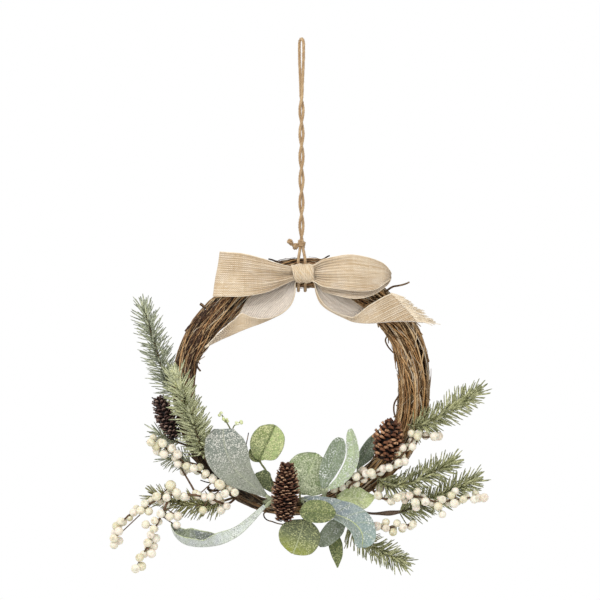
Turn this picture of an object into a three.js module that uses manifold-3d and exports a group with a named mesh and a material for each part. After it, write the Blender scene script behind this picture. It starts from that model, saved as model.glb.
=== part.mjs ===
// A hanging wreath: a ring of wound vine twigs, a woven ribbon bow, a loop of jute cord to hang it by, and
// fir, berries, cones, lamb's ear and eucalyptus leaves along the lower half of the ring.
// Millimetres, +Z up. The front faces -Y, and the origin lies under the top of the cord loop, where a hook
// bears. Every piece is shaped in the wreath's own picture plane: x to the right, y up, z out of the ring
// towards the viewer, with the middle of the ring at 0, 0, 0. The last group turns and lowers that plane.
import * as THREE from "three";
import { mergeVertices } from "three/addons/utils/BufferGeometryUtils.js";
import Module from "manifold-3d";

const wasm = await Module();
wasm.setup();
const { Manifold } = wasm;

// Driving dimensions.
const BUNDLE_RADIUS = 11.4; // where it is thickest, in the valleys between the twigs
const TWIG_RISE = 2.7; // how far a twig stands out of the bundle
const TWIG_LOBES = 11;
const LOBES_TURNED = 9; // lobes that the twist moves on by in one round of the ring
const RING_STATIONS = 40;
const OVER_TWIG_STATIONS = 32;
const OVER_TWIG_RADIUS = 2.2;
const OVER_TWIG_REACH = 15; // from the middle of the bundle to the middle of a twig that winds over it
const OVER_TWIG_TURNS = 2; // round the bundle in one round of the ring
const HANG_DROP = 348.5; // from under the top of the cord loop, where a hook bears, to the ring's middle
const HANG_SIDE = 1.5; // the ring's middle lies this far right of the top of the cord loop
const CORD_DIAMETER = 2.7;
const RIBBON_THICKNESS = 1;
const LEAF_THICKNESS = 0.8;
const CLEARANCE = 0.5; // free space kept between neighbouring pieces
const NEEDLE_SPACING = 2.8; // along a fir stem, with four needles round it at each step
const NEEDLE_ANGLE = THREE.MathUtils.degToRad(50); // how far a needle leans out of its stem's direction
const NEEDLE_HALF_WIDTH = 0.7;
const FIR_STEM_RADIUS = 1.3;

// A seeded random number from 0 to 1, the same in each run.
function randomFrom(seed) {
  let state = seed >>> 0;
  return () => {
    state = (state * 1664525 + 1013904223) >>> 0;
    return state / 4294967296;
  };
}

const point = (p) => new THREE.Vector3(...p);
const curveThrough = (points) => new THREE.CatmullRomCurve3(points.map(point), false, "centripetal");

// Solids

// A manifold solid from corners and triangles, turned outwards if they face in.
function solidFrom(corners, triangles) {
  const make = (faces) =>
    new Manifold(
      new wasm.Mesh({
        numProp: 3,
        vertProperties: new Float32Array(corners.flatMap((c) => [c.x, c.y, c.z])),
        triVerts: new Uint32Array(faces.flat()),
      }),
    );
  const solid = make(triangles);
  return solid.volume() > 0 ? solid : make(triangles.map(([a, b, c]) => [a, c, b]));
}

// A manifold solid from a three.js geometry.
function solidOf(geometry) {
  const bare = geometry.clone();
  bare.deleteAttribute("normal");
  bare.deleteAttribute("uv");
  const merged = mergeVertices(bare, 1e-4);
  return new Manifold(
    new wasm.Mesh({
      numProp: 3,
      vertProperties: merged.attributes.position.array,
      triVerts: new Uint32Array(merged.index.array),
    }),
  );
}

const largestBody = (solid) => solid.decompose().sort((a, b) => b.volume() - a.volume())[0];
const union = (solids) => (solids.length === 1 ? solids[0] : Manifold.union(solids));

// Rings of corners joined into a skin: closed on itself, or with a flat end cap on both ends.
function skinned(rings, closed = false, shift = 0) {
  const sides = rings[0].length;
  const corners = rings.flat();
  const triangles = [];
  const last = closed ? rings.length : rings.length - 1;
  for (let i = 0; i < last; i++) {
    const next = (i + 1) % rings.length;
    const turn = next === 0 ? shift : 0;
    for (let j = 0; j < sides; j++) {
      const k = (j + 1) % sides;
      const a = i * sides + j;
      const b = i * sides + k;
      const c = next * sides + ((k + turn) % sides);
      const d = next * sides + ((j + turn) % sides);
      triangles.push([a, b, c], [a, c, d]);
    }
  }
  if (!closed) {
    const end = (rings.length - 1) * sides;
    for (let j = 1; j < sides - 1; j++) {
      triangles.push([0, j + 1, j], [end, end + j, end + j + 1]);
    }
  }
  return solidFrom(corners, triangles);
}

// Side vectors along a line of points, each square to it, carried on without twisting.
function framesAlong(line, closed = false) {
  const count = line.length;
  const frames = [];
  let side = null;
  for (let i = 0; i < count; i++) {
    const before = line[closed ? (i + count - 1) % count : Math.max(i - 1, 0)];
    const after = line[closed ? (i + 1) % count : Math.min(i + 1, count - 1)];
    const along = after.clone().sub(before).normalize();
    if (!side) side = Math.abs(along.z) < 0.9 ? new THREE.Vector3(0, 0, 1) : new THREE.Vector3(1, 0, 0);
    side = side.clone().addScaledVector(along, -side.dot(along)).normalize();
    frames.push({ along, side, across: along.clone().cross(side) });
  }
  return frames;
}

// A round rod along a line of points, with a radius at each.
function rod(line, radii, sides, closed = false) {
  const frames = framesAlong(line, closed);
  const rings = line.map((middle, i) =>
    Array.from({ length: sides }, (_, j) => {
      const turn = (2 * Math.PI * j) / sides;
      return middle
        .clone()
        .addScaledVector(frames[i].side, radii[i] * Math.cos(turn))
        .addScaledVector(frames[i].across, radii[i] * Math.sin(turn));
    }),
  );
  return skinned(rings, closed);
}

// A rod that narrows from its root to its tip.
function stemRod(points, thick, thin, sides = 5, spacing = 12) {
  const curve = curveThrough(points);
  const steps = Math.max(2, Math.round(curve.getLength() / spacing));
  const line = curve.getSpacedPoints(steps);
  return rod(line, line.map((_, i) => thick + ((thin - thick) * i) / steps), sides);
}

// A pointed needle with three sides.
function needle(root, tip, radius) {
  const along = tip.clone().sub(root).normalize();
  const side = new THREE.Vector3(-along.y, along.x, 0.01).normalize();
  const across = along.clone().cross(side);
  const corners = [0, 1, 2].map((j) => {
    const turn = (2 * Math.PI * j) / 3;
    return root
      .clone()
      .addScaledVector(side, radius * Math.cos(turn))
      .addScaledVector(across, radius * Math.sin(turn));
  });
  return solidFrom([...corners, tip], [[0, 1, 3], [1, 2, 3], [2, 0, 3], [0, 2, 1]]);
}

// A thin sheet over a grid of points, each row with its thickness, and both faces split into triangles alike.
function sheet(grid, thickness) {
  const rows = grid.length;
  const columns = grid[0].length;
  const faces = [[], []];
  grid.forEach((row, i) =>
    row.forEach((middle, j) => {
      const along = grid[Math.min(i + 1, rows - 1)][j].clone().sub(grid[Math.max(i - 1, 0)][j]);
      const across = row[Math.min(j + 1, columns - 1)].clone().sub(row[Math.max(j - 1, 0)]);
      const out = across.cross(along).normalize();
      faces[0].push(middle.clone().addScaledVector(out, thickness[i] / 2));
      faces[1].push(middle.clone().addScaledVector(out, -thickness[i] / 2));
    }),
  );
  const under = rows * columns;
  const at = (i, j) => i * columns + j;
  const triangles = [];
  const wall = (p, q) => triangles.push([q, p, p + under], [q, p + under, q + under]);
  for (let i = 0; i < rows - 1; i++) {
    for (let j = 0; j < columns - 1; j++) {
      const [a, b, c, d] = [at(i, j), at(i, j + 1), at(i + 1, j + 1), at(i + 1, j)];
      triangles.push([a, b, d], [b, c, d]);
      triangles.push([a + under, d + under, b + under], [b + under, d + under, c + under]);
      if (i === 0) wall(a, b);
      if (i === rows - 2) wall(c, d);
      if (j === 0) wall(d, a);
      if (j === columns - 2) wall(b, c);
    }
  }
  return solidFrom([...faces[0], ...faces[1]], triangles);
}

// The pieces made so far, each kept clear of those after it.
const pieces = [];

function addPiece(name, solid, material) {
  pieces.push({ name, solid, material, box: solid.boundingBox() });
}

const boxesMeet = (a, b) => [0, 1, 2].every((k) => a.min[k] < b.max[k] && a.max[k] > b.min[k]);

// Whether a solid is clear of every piece made so far.
function isClear(solid) {
  const box = solid.boundingBox();
  return pieces.every((p) => !boxesMeet(box, p.box) || solid.intersect(p.solid).isEmpty());
}

// The ring of wound twigs

// Round the ring from its right side: [degrees, radius to the bundle's middle, share of its full thickness].
const BUNDLE_PLACES = [
  [0, 111.5, 1],
  [40, 112.5, 1],
  [90, 115.5, 0.95],
  [135, 115.5, 0.82],
  [180, 115.8, 0.8],
  [204, 122, 0.5],
  [222, 123.6, 0.42],
  [248, 124, 0.42],
  [272, 119, 0.55],
  [305, 112, 0.75],
  [330, 112.4, 0.94],
  [360, 111.5, 1],
];

// The bundle's middle and thickness at an angle round the ring.
function bundleAt(round) {
  const degrees = THREE.MathUtils.euclideanModulo(THREE.MathUtils.radToDeg(round), 360);
  const next = BUNDLE_PLACES.findIndex(([at]) => at > degrees);
  const [from, to] = [BUNDLE_PLACES[next - 1], BUNDLE_PLACES[next]];
  const t = THREE.MathUtils.smoothstep(degrees, from[0], to[0]);
  return { radius: THREE.MathUtils.lerp(from[1], to[1], t), girth: THREE.MathUtils.lerp(from[2], to[2], t) };
}

// A point beside the bundle's middle: an angle round the ring, and a reach and a turn round the bundle.
function besideBundle(round, reach, turn) {
  const out = bundleAt(round).radius + reach * Math.cos(turn);
  return new THREE.Vector3(out * Math.cos(round), out * Math.sin(round), reach * Math.sin(turn));
}

// The bundle's skin: lobes that twist round it, one for each thick twig, uneven as real twigs are.
function twigBundle(grow) {
  const random = randomFrom(7);
  const lobes = Array.from({ length: TWIG_LOBES }, () => ({
    size: 0.75 + 0.5 * random(),
    phase: 2 * Math.PI * random(),
    waves: 2 + Math.floor(4 * random()),
  }));
  const columns = 2 * TWIG_LOBES;
  const rings = Array.from({ length: RING_STATIONS }, (_, i) => {
    const round = (2 * Math.PI * i) / RING_STATIONS;
    return Array.from({ length: columns }, (__, j) => {
      const lobe = lobes[(j >> 1) % TWIG_LOBES];
      const wave = Math.sin(lobe.waves * round + lobe.phase);
      const crest = j % 2 ? TWIG_RISE * (lobe.size + 0.25 * wave) : 0;
      const turn = (2 * Math.PI * j) / columns - (LOBES_TURNED / TWIG_LOBES) * round + 0.05 * wave;
      return besideBundle(round, bundleAt(round).girth * (BUNDLE_RADIUS + crest) + grow, turn);
    });
  });
  return skinned(rings, true, 2 * (TWIG_LOBES - LOBES_TURNED));
}

// A twig that winds over the bundle, across the twist of the others.
function overTwig(start, grow) {
  const line = Array.from({ length: OVER_TWIG_STATIONS }, (_, i) => {
    const round = (2 * Math.PI * i) / OVER_TWIG_STATIONS;
    return besideBundle(round, bundleAt(round).girth * OVER_TWIG_REACH, OVER_TWIG_TURNS * round + start);
  });
  return rod(line, line.map(() => OVER_TWIG_RADIUS + grow), 3, true);
}

// Loose twig ends that stand off the bundle: [point inside the bundle, free end].
const LOOSE_TWIGS = [
  [[82, 82, 4], [107, 106, 10]],
  [[92, 76, 0], [103, 95, -6]],
  [[-80, 84, 2], [-106, 87, 8]],
  [[-98, 66, 0], [-119, 58, 8]],
  [[114, 20, 0], [131, 47, 8]],
  [[107, 12, 4], [88, 36, 10]],
  [[110, -22, 2], [91, 0, 10]],
  [[-111, 30, 2], [-93, 11, 10]],
  [[12, 114, -4], [32, 133, -4]],
  [[-16, 114, -2], [-42, 129, 2]],
  [[40, -106, -2], [76, -123, -10]],
  [[-12, -119, 0], [-44, -132, 8]],
];

const LOOSE_TWIG = { thick: 1.5, thin: 0.8 };

// The whole ring, or the space it takes up with room round it, which leaves out the loose ends.
function twigRing(grow) {
  const parts = [twigBundle(grow), overTwig(0, grow), overTwig(Math.PI, grow)];
  if (!grow) {
    LOOSE_TWIGS.forEach((ends) => parts.push(stemRod(ends, LOOSE_TWIG.thick, LOOSE_TWIG.thin, 3, 40)));
  }
  return largestBody(union(parts));
}

const STEM_SEAT = 0.3; // free space between a stem's root and the twigs that it is pushed between
const ringSpace = twigRing(STEM_SEAT);
const outsideRing = (solid) => largestBody(solid.subtract(ringSpace));

// The jute cord

const CORD_X = -HANG_SIDE;
const CORD_TOP = HANG_DROP + CORD_DIAMETER / 2; // the middle of the cord over the hook
const CORD_FOOT = 146.7; // where the two strands leave the knot
const TWIST_TOP = 292; // above this the strands part into the loop
const STRAND_OFFSET = 1.75; // from the pair's middle to a strand's middle
const TWIST_PITCH = 46;
const LOOP_OFFSET = 5.2; // half the width of the open loop
const LOOP_TURN = THREE.MathUtils.degToRad(66); // the loop's plane, turned out of the picture plane
const PART_HEIGHT = 12; // below the top of the loop, where the strands are fully apart
const STRAND_STEPS = 40;
const CROWN_STEPS = 6;

// One strand's place at a height: wound round the other below, parted into the open loop above.
function strandAt(height, hand) {
  const turn = (2 * Math.PI * (TWIST_TOP - height)) / TWIST_PITCH;
  const part = THREE.MathUtils.smoothstep(height, TWIST_TOP, CORD_TOP - PART_HEIGHT);
  const reach = hand * THREE.MathUtils.lerp(STRAND_OFFSET, LOOP_OFFSET, part);
  const angle = height < TWIST_TOP ? LOOP_TURN + turn : LOOP_TURN;
  return new THREE.Vector3(CORD_X + reach * Math.cos(angle), height, reach * Math.sin(angle));
}

// The whole strand: up from the knot, over the top of the loop and down to the knot again.
function cordLine() {
  const points = [];
  const shoulder = CORD_TOP - LOOP_OFFSET;
  for (let i = 0; i <= STRAND_STEPS; i++) {
    points.push(strandAt(CORD_FOOT + ((shoulder - CORD_FOOT) * i) / STRAND_STEPS, 1));
  }
  const down = points.map((_, i) => strandAt(points[STRAND_STEPS - i].y, -1));
  for (let k = 1; k < CROWN_STEPS; k++) {
    const turn = (Math.PI * k) / CROWN_STEPS;
    const reach = LOOP_OFFSET * Math.cos(turn);
    points.push(
      new THREE.Vector3(
        CORD_X + reach * Math.cos(LOOP_TURN),
        shoulder + LOOP_OFFSET * Math.sin(turn),
        reach * Math.sin(LOOP_TURN),
      ),
    );
  }
  return [...points, ...down];
}

function hangingCord() {
  const section = new THREE.Shape();
  section.absarc(0, 0, CORD_DIAMETER / 2, 0, 2 * Math.PI);
  const geometry = new THREE.ExtrudeGeometry(section, {
    steps: 62,
    curveSegments: 4,
    extrudePath: new THREE.CatmullRomCurve3(cordLine()),
  });
  return solidOf(geometry);
}

const KNOT_HEIGHT = 142; // the knot that draws the cord's turns round the ring together
const CORD_SEAT = 0.35; // free space between the cord and the twigs that it lies on
const RING_TOP = bundleAt(Math.PI / 2);
// From the middle of the bundle to the middle of a turn of cord round it.
const TURN_REACH = RING_TOP.girth * OVER_TWIG_REACH + OVER_TWIG_RADIUS + CORD_SEAT + CORD_DIAMETER / 2;

const TURN_STEPS = 14;

// A closed turn of cord round the bundle, drawn to a point at the knot.
function cordTurn(x, topX) {
  const apex = KNOT_HEIGHT - RING_TOP.radius;
  const open = Math.acos(TURN_REACH / apex);
  const line = [new THREE.Vector3(topX, KNOT_HEIGHT, 0)];
  for (let i = 0; i <= TURN_STEPS; i++) {
    const turn = open + ((2 * Math.PI - 2 * open) * i) / TURN_STEPS;
    const [up, out] = [TURN_REACH * Math.cos(turn), TURN_REACH * Math.sin(turn)];
    line.push(new THREE.Vector3(x, RING_TOP.radius + up, out));
  }
  return rod(line, line.map(() => CORD_DIAMETER / 2), 5, true);
}

// The turns round the ring with the knot and its two short ends.
function cordWrap() {
  const lump = (middle, radius) => {
    const shape = new THREE.IcosahedronGeometry(radius, 0);
    shape.scale(1.1, 0.9, 1);
    shape.translate(...middle);
    return solidOf(shape);
  };
  return union([
    cordTurn(-4.6, -2.6),
    cordTurn(2.2, -0.4),
    lump([CORD_X, KNOT_HEIGHT + 1, 0], 4.2),
    lump([-7.6, 141.6, 2], 3.6),
    lump([-12.6, 146, 3], 3.8),
    stemRod([[-3, 142, 1], [-8, 141.6, 2], [-13, 146.4, 3]], 1.8, 1.8, 4, 8),
  ]);
}

// The bow

const KNOT = point([1.5, 114.5, 28.7]); // the middle of the bow's knot
const KNOT_HALF = 8.8; // half the length of the gathered middle, along x
const GATHER = { y: 7.8, z: 5.8 }; // half the gathered ribbon's height and depth in the knot

// Each rib across the ribbon: its middle, with its depth measured from the knot's, its half-width vector, and
// the height of its pleats.
const LEFT_LOOP = [
  [[1, 114.5, 2.4], [0, 6, 0], 0.9],
  [[-8, 114.4, 3.2], [0, 6.4, 0.2], 1],
  [[-19, 112.8, 7], [0, 9.8, 1], 1.6],
  [[-39, 112.4, 10.5], [-1.6, 16.8, 1], 1.1],
  [[-60, 113, 9.5], [0.4, 21, 0], 0.5],
  [[-77, 113.6, 6.2], [2.6, 21.8, 0], 0.2],
  [[-85.6, 114, 1.8], [3.4, 22, 0], 0],
  [[-85.8, 114, -2.8], [3.4, 22, 0], 0],
  [[-77, 113.4, -6.6], [2.6, 21.4, 0], 0],
  [[-48, 112.5, -7.8], [0, 18.2, 0], 0.5],
  [[-18, 113.4, -4.4], [0, 9, 0], 1],
  [[-8, 114.4, -3], [0, 6.4, 0], 0.9],
  [[1, 114.5, -2], [0, 6, 0], 0.9],
];
const RIGHT_LOOP = [
  [[2, 114.5, 2.4], [0, 6, 0], 0.9],
  [[11, 114.6, 3.2], [0, 6.4, 0.2], 1],
  [[20, 115.2, 7.4], [0.4, 11.6, 1], 1.6],
  [[34, 115.4, 12], [-0.6, 16, 1.5], 1.1],
  [[55, 114.6, 13.6], [-0.6, 17.9, -0.8], 0.5],
  [[76, 113.4, 8], [0, 12.4, -4], 0.1],
  [[85.6, 112.8, 2.2], [0.4, 5.8, -2.4], 0],
  [[87.4, 111, -1.6], [0.2, 4.4, -1], 0],
  [[79, 109.2, -6], [0, 10.2, -2], 0],
  [[63, 107.2, -8], [0, 17, 0], 0.2],
  [[45, 107.4, -8], [0, 17.6, 0], 0.5],
  [[25, 109.4, -5.6], [0, 13.6, 0], 0.9],
  [[11, 113.8, -3], [0, 6.6, 0], 0.9],
  [[2, 114.5, -2], [0, 6, 0], 0.9],
];
const LEFT_TAIL = [
  [[0, 112.5, -1], [0, -5, 0], 0.6],
  [[-9, 110.2, -3], [1, -3.3, 1.5], 0.8],
  [[-17, 101, -4.5], [8, -5, 4.5], 0.8],
  [[-28.5, 89.5, -5], [13.5, -7.5, 8], 0.5],
  [[-44.5, 78.6, -3], [12, -10.6, 10], 0.2],
  [[-59.4, 66.8, 1], [5.8, -7.6, 10], 0],
  [[-78, 54.9, 1.7], [2, -4.8, 8.3], 0],
  [[-93.4, 43.4, -5], [0.6, -1.6, 3], 0],
];
const RIGHT_TAIL = [
  [[3, 112.5, -1], [0, 5, 0], 0.6],
  [[12, 108.8, -3], [1, 3.2, -2], 0.8],
  [[20, 97.6, -4], [6.8, 5.4, -5.5], 0.8],
  [[31.5, 87, -3], [9, 8.5, -9], 0.4],
  [[48, 76.4, -1], [6, 8, -11], 0.2],
  [[60, 71.6, 3], [0, 7.6, -14], 0],
  [[75, 75.8, 5], [-2, 10.6, -12], 0],
  [[90, 80, 4], [-5, 14, -9], 0],
  [[108, 80, 1], [-18, 14.4, -3], 0],
];
const RIBBON_COLUMNS = 4;

// A strip of ribbon through its ribs, pleated where it is gathered.
function ribbonStrip(ribs) {
  const middles = ribs.map(([[x, y, z]]) => point([x, y, z + KNOT.z]));
  const grid = ribs.map(([, across, pleat], i) => {
    const half = point(across);
    const along = middles[Math.min(i + 1, ribs.length - 1)].clone().sub(middles[Math.max(i - 1, 0)]);
    const out = along.cross(half).normalize();
    return Array.from({ length: RIBBON_COLUMNS + 1 }, (_, j) => {
      const q = (2 * j) / RIBBON_COLUMNS - 1;
      const wave = pleat * Math.cos(2 * Math.PI * q);
      return middles[i].clone().addScaledVector(half, q).addScaledVector(out, wave);
    });
  });
  return sheet(grid, grid.map(() => RIBBON_THICKNESS));
}

const GATHER_SIDES = 10;

// The gathered ribbon inside the knot, which joins the loops and the tails.
function gatheredMiddle() {
  const rings = [-1, 1].map((end) =>
    Array.from({ length: GATHER_SIDES }, (_, j) => {
      const turn = (2 * Math.PI * j) / GATHER_SIDES;
      return new THREE.Vector3(
        KNOT.x + end * KNOT_HALF,
        KNOT.y + GATHER.y * Math.cos(turn),
        KNOT.z + GATHER.z * Math.sin(turn),
      );
    }),
  );
  return skinned(rings);
}

function bowRibbon() {
  const joined = union([
    gatheredMiddle(),
    ribbonStrip(LEFT_LOOP),
    ribbonStrip(RIGHT_LOOP),
    ribbonStrip(LEFT_TAIL),
    ribbonStrip(RIGHT_TAIL),
  ]);
  return largestBody(joined);
}

const BAND_INNER = 1.8; // from the gathered middle to the inside of the band
const BAND_SIDES = 16;
// The band's section: [along x, up from its inside].
const BAND_SECTION = [[-7.6, 0], [7.6, 0], [8.4, 0.8], [6.4, 1.6], [-6.4, 1.6], [-8.4, 0.8]];

// The short band of ribbon wound round the gathered middle.
function bowKnotBand() {
  const rings = Array.from({ length: BAND_SIDES }, (_, i) => {
    const turn = (2 * Math.PI * i) / BAND_SIDES;
    return BAND_SECTION.map(([x, up]) => {
      const y = (GATHER.y + BAND_INNER + up) * Math.cos(turn);
      const z = (GATHER.z + BAND_INNER + up) * Math.sin(turn);
      return new THREE.Vector3(KNOT.x + x, KNOT.y + y, KNOT.z + z);
    });
  });
  return skinned(rings, true);
}

// Cones

const CONE_FACTS = { neck: 0.66, between: 0.84, tip: 1.06, crown: 0.35, used: 0.94, lip: 1.22, stalk: 1.6 };

// Rows of overlapping scales raised from a spindle: each row's tips lie between those of the row below. The
// cone's facts are shares of its radius, except the share of its height in scales and the stalk's radius.
function coneSolid({ foot, top, radius, rows, scales, stalk }) {
  const start = point(foot);
  const axis = point(top).sub(start);
  const height = axis.length();
  const { side, across, along } = framesAlong([start, point(top)])[0];
  const columns = 2 * scales;
  const rings = [];
  const girth = (t) => {
    const swell = Math.sin(Math.PI * (0.1 + 0.86 * Math.min(t, 1)));
    return radius * Math.pow(swell, 0.55) * (1 - 0.25 * t);
  };
  const ringAt = (t, reach) => {
    rings.push(
      Array.from({ length: columns }, (_, j) => {
        const turn = (2 * Math.PI * j) / columns;
        const r = reach(j);
        return start
          .clone()
          .addScaledVector(along, t * height)
          .addScaledVector(side, r * Math.cos(turn))
          .addScaledVector(across, r * Math.sin(turn));
      }),
    );
  };
  for (let row = 0; row < rows; row++) {
    const t = (row * CONE_FACTS.used) / rows;
    ringAt(t, () => girth(t) * CONE_FACTS.neck);
    const tip = t + CONE_FACTS.lip / rows;
    ringAt(tip, (j) => girth(tip) * ((j + row) % 2 ? CONE_FACTS.between : CONE_FACTS.tip));
  }
  ringAt(1, () => girth(1) * CONE_FACTS.crown);
  const stem = outsideRing(stemRod(stalk, CONE_FACTS.stalk, CONE_FACTS.stalk, 4, 20));
  return union([skinned(rings), stem]);
}

const CONES = [
  {
    name: "pine_cone_middle",
    foot: [-15.5, -133, 32],
    top: [-17, -73, 36],
    radius: 15,
    rows: 8,
    scales: 8,
    stalk: [[-16, -114, 28], [-16, -117, 2]],
  },
  {
    name: "pine_cone_right",
    foot: [77.5, -73, 27],
    top: [90, -31, 30.5],
    radius: 16.2,
    rows: 6,
    scales: 7,
    stalk: [[83, -56, 22], [94, -62, 4]],
  },
  {
    name: "pine_cone_left",
    foot: [-127, -51, 9],
    top: [-147, -7, 6],
    radius: 12.2,
    rows: 6,
    scales: 7,
    stalk: [[-129, -44, 6], [-112, -39, 2]],
  },
];

// Leaves

// Half-widths from the base to the tip, as shares of the widest.
const LEAF_SHAPES = {
  spoon: [[0, 0.1], [0.16, 0.36], [0.38, 0.76], [0.62, 1], [0.82, 0.92], [0.94, 0.58], [1, 0.2]],
  round: [[0, 0.1], [0.09, 0.55], [0.28, 0.92], [0.52, 1], [0.77, 0.84], [0.93, 0.46], [1, 0.12]],
  pointed: [[0, 0.1], [0.18, 0.6], [0.42, 1], [0.66, 0.84], [0.86, 0.42], [1, 0.06]],
  oval: [[0, 0.12], [0.2, 0.58], [0.46, 1], [0.72, 0.9], [0.9, 0.54], [1, 0.16]],
};
const WIDE_LEAF = 30; // a blade wider than this is split into four strips, and a smaller one into two

const STALK_RADIUS = 1;
const STALK_ROWS = [0, 0.6]; // shares of the stalk's length

// A leaf in one sheet: a stalk, then a blade along its spine, which turns from one facing at its base to
// another at its tip. Its sides rise by cup.
function leaf({ stalk, spine, width, shape, face, tipFace = face, cup = 0.25 }) {
  const curve = curveThrough([...stalk, ...spine]);
  const base = 1 - curveThrough(spine).getLength() / curve.getLength();
  const columns = width > WIDE_LEAF ? 4 : 2;
  const blade = LEAF_SHAPES[shape].map(([u, share]) => {
    const t = base + (1 - base) * u;
    const along = curve.getTangentAt(t);
    const side = along.clone().cross(point(face).lerp(point(tipFace), u)).normalize();
    return { t, along, side, reach: Math.max(STALK_RADIUS, (share * width) / 2), thickness: LEAF_THICKNESS };
  });
  const rows = [...blade];
  for (const share of [...STALK_ROWS].reverse()) {
    const t = base * share;
    const along = curve.getTangentAt(t);
    const after = rows[0].side;
    const side = after.clone().addScaledVector(along, -after.dot(along)).normalize();
    rows.unshift({ t, along, side, reach: STALK_RADIUS, thickness: 1.8 * STALK_RADIUS });
  }
  const grid = rows.map(({ t, along, side, reach }) => {
    const out = side.clone().cross(along);
    return Array.from({ length: columns + 1 }, (_, j) => {
      const q = (2 * j) / columns - 1;
      return curve
        .getPointAt(t)
        .addScaledVector(side, reach * q)
        .addScaledVector(out, reach * cup * Math.abs(q));
    });
  });
  return sheet(grid, rows.map((row) => row.thickness));
}

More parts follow.
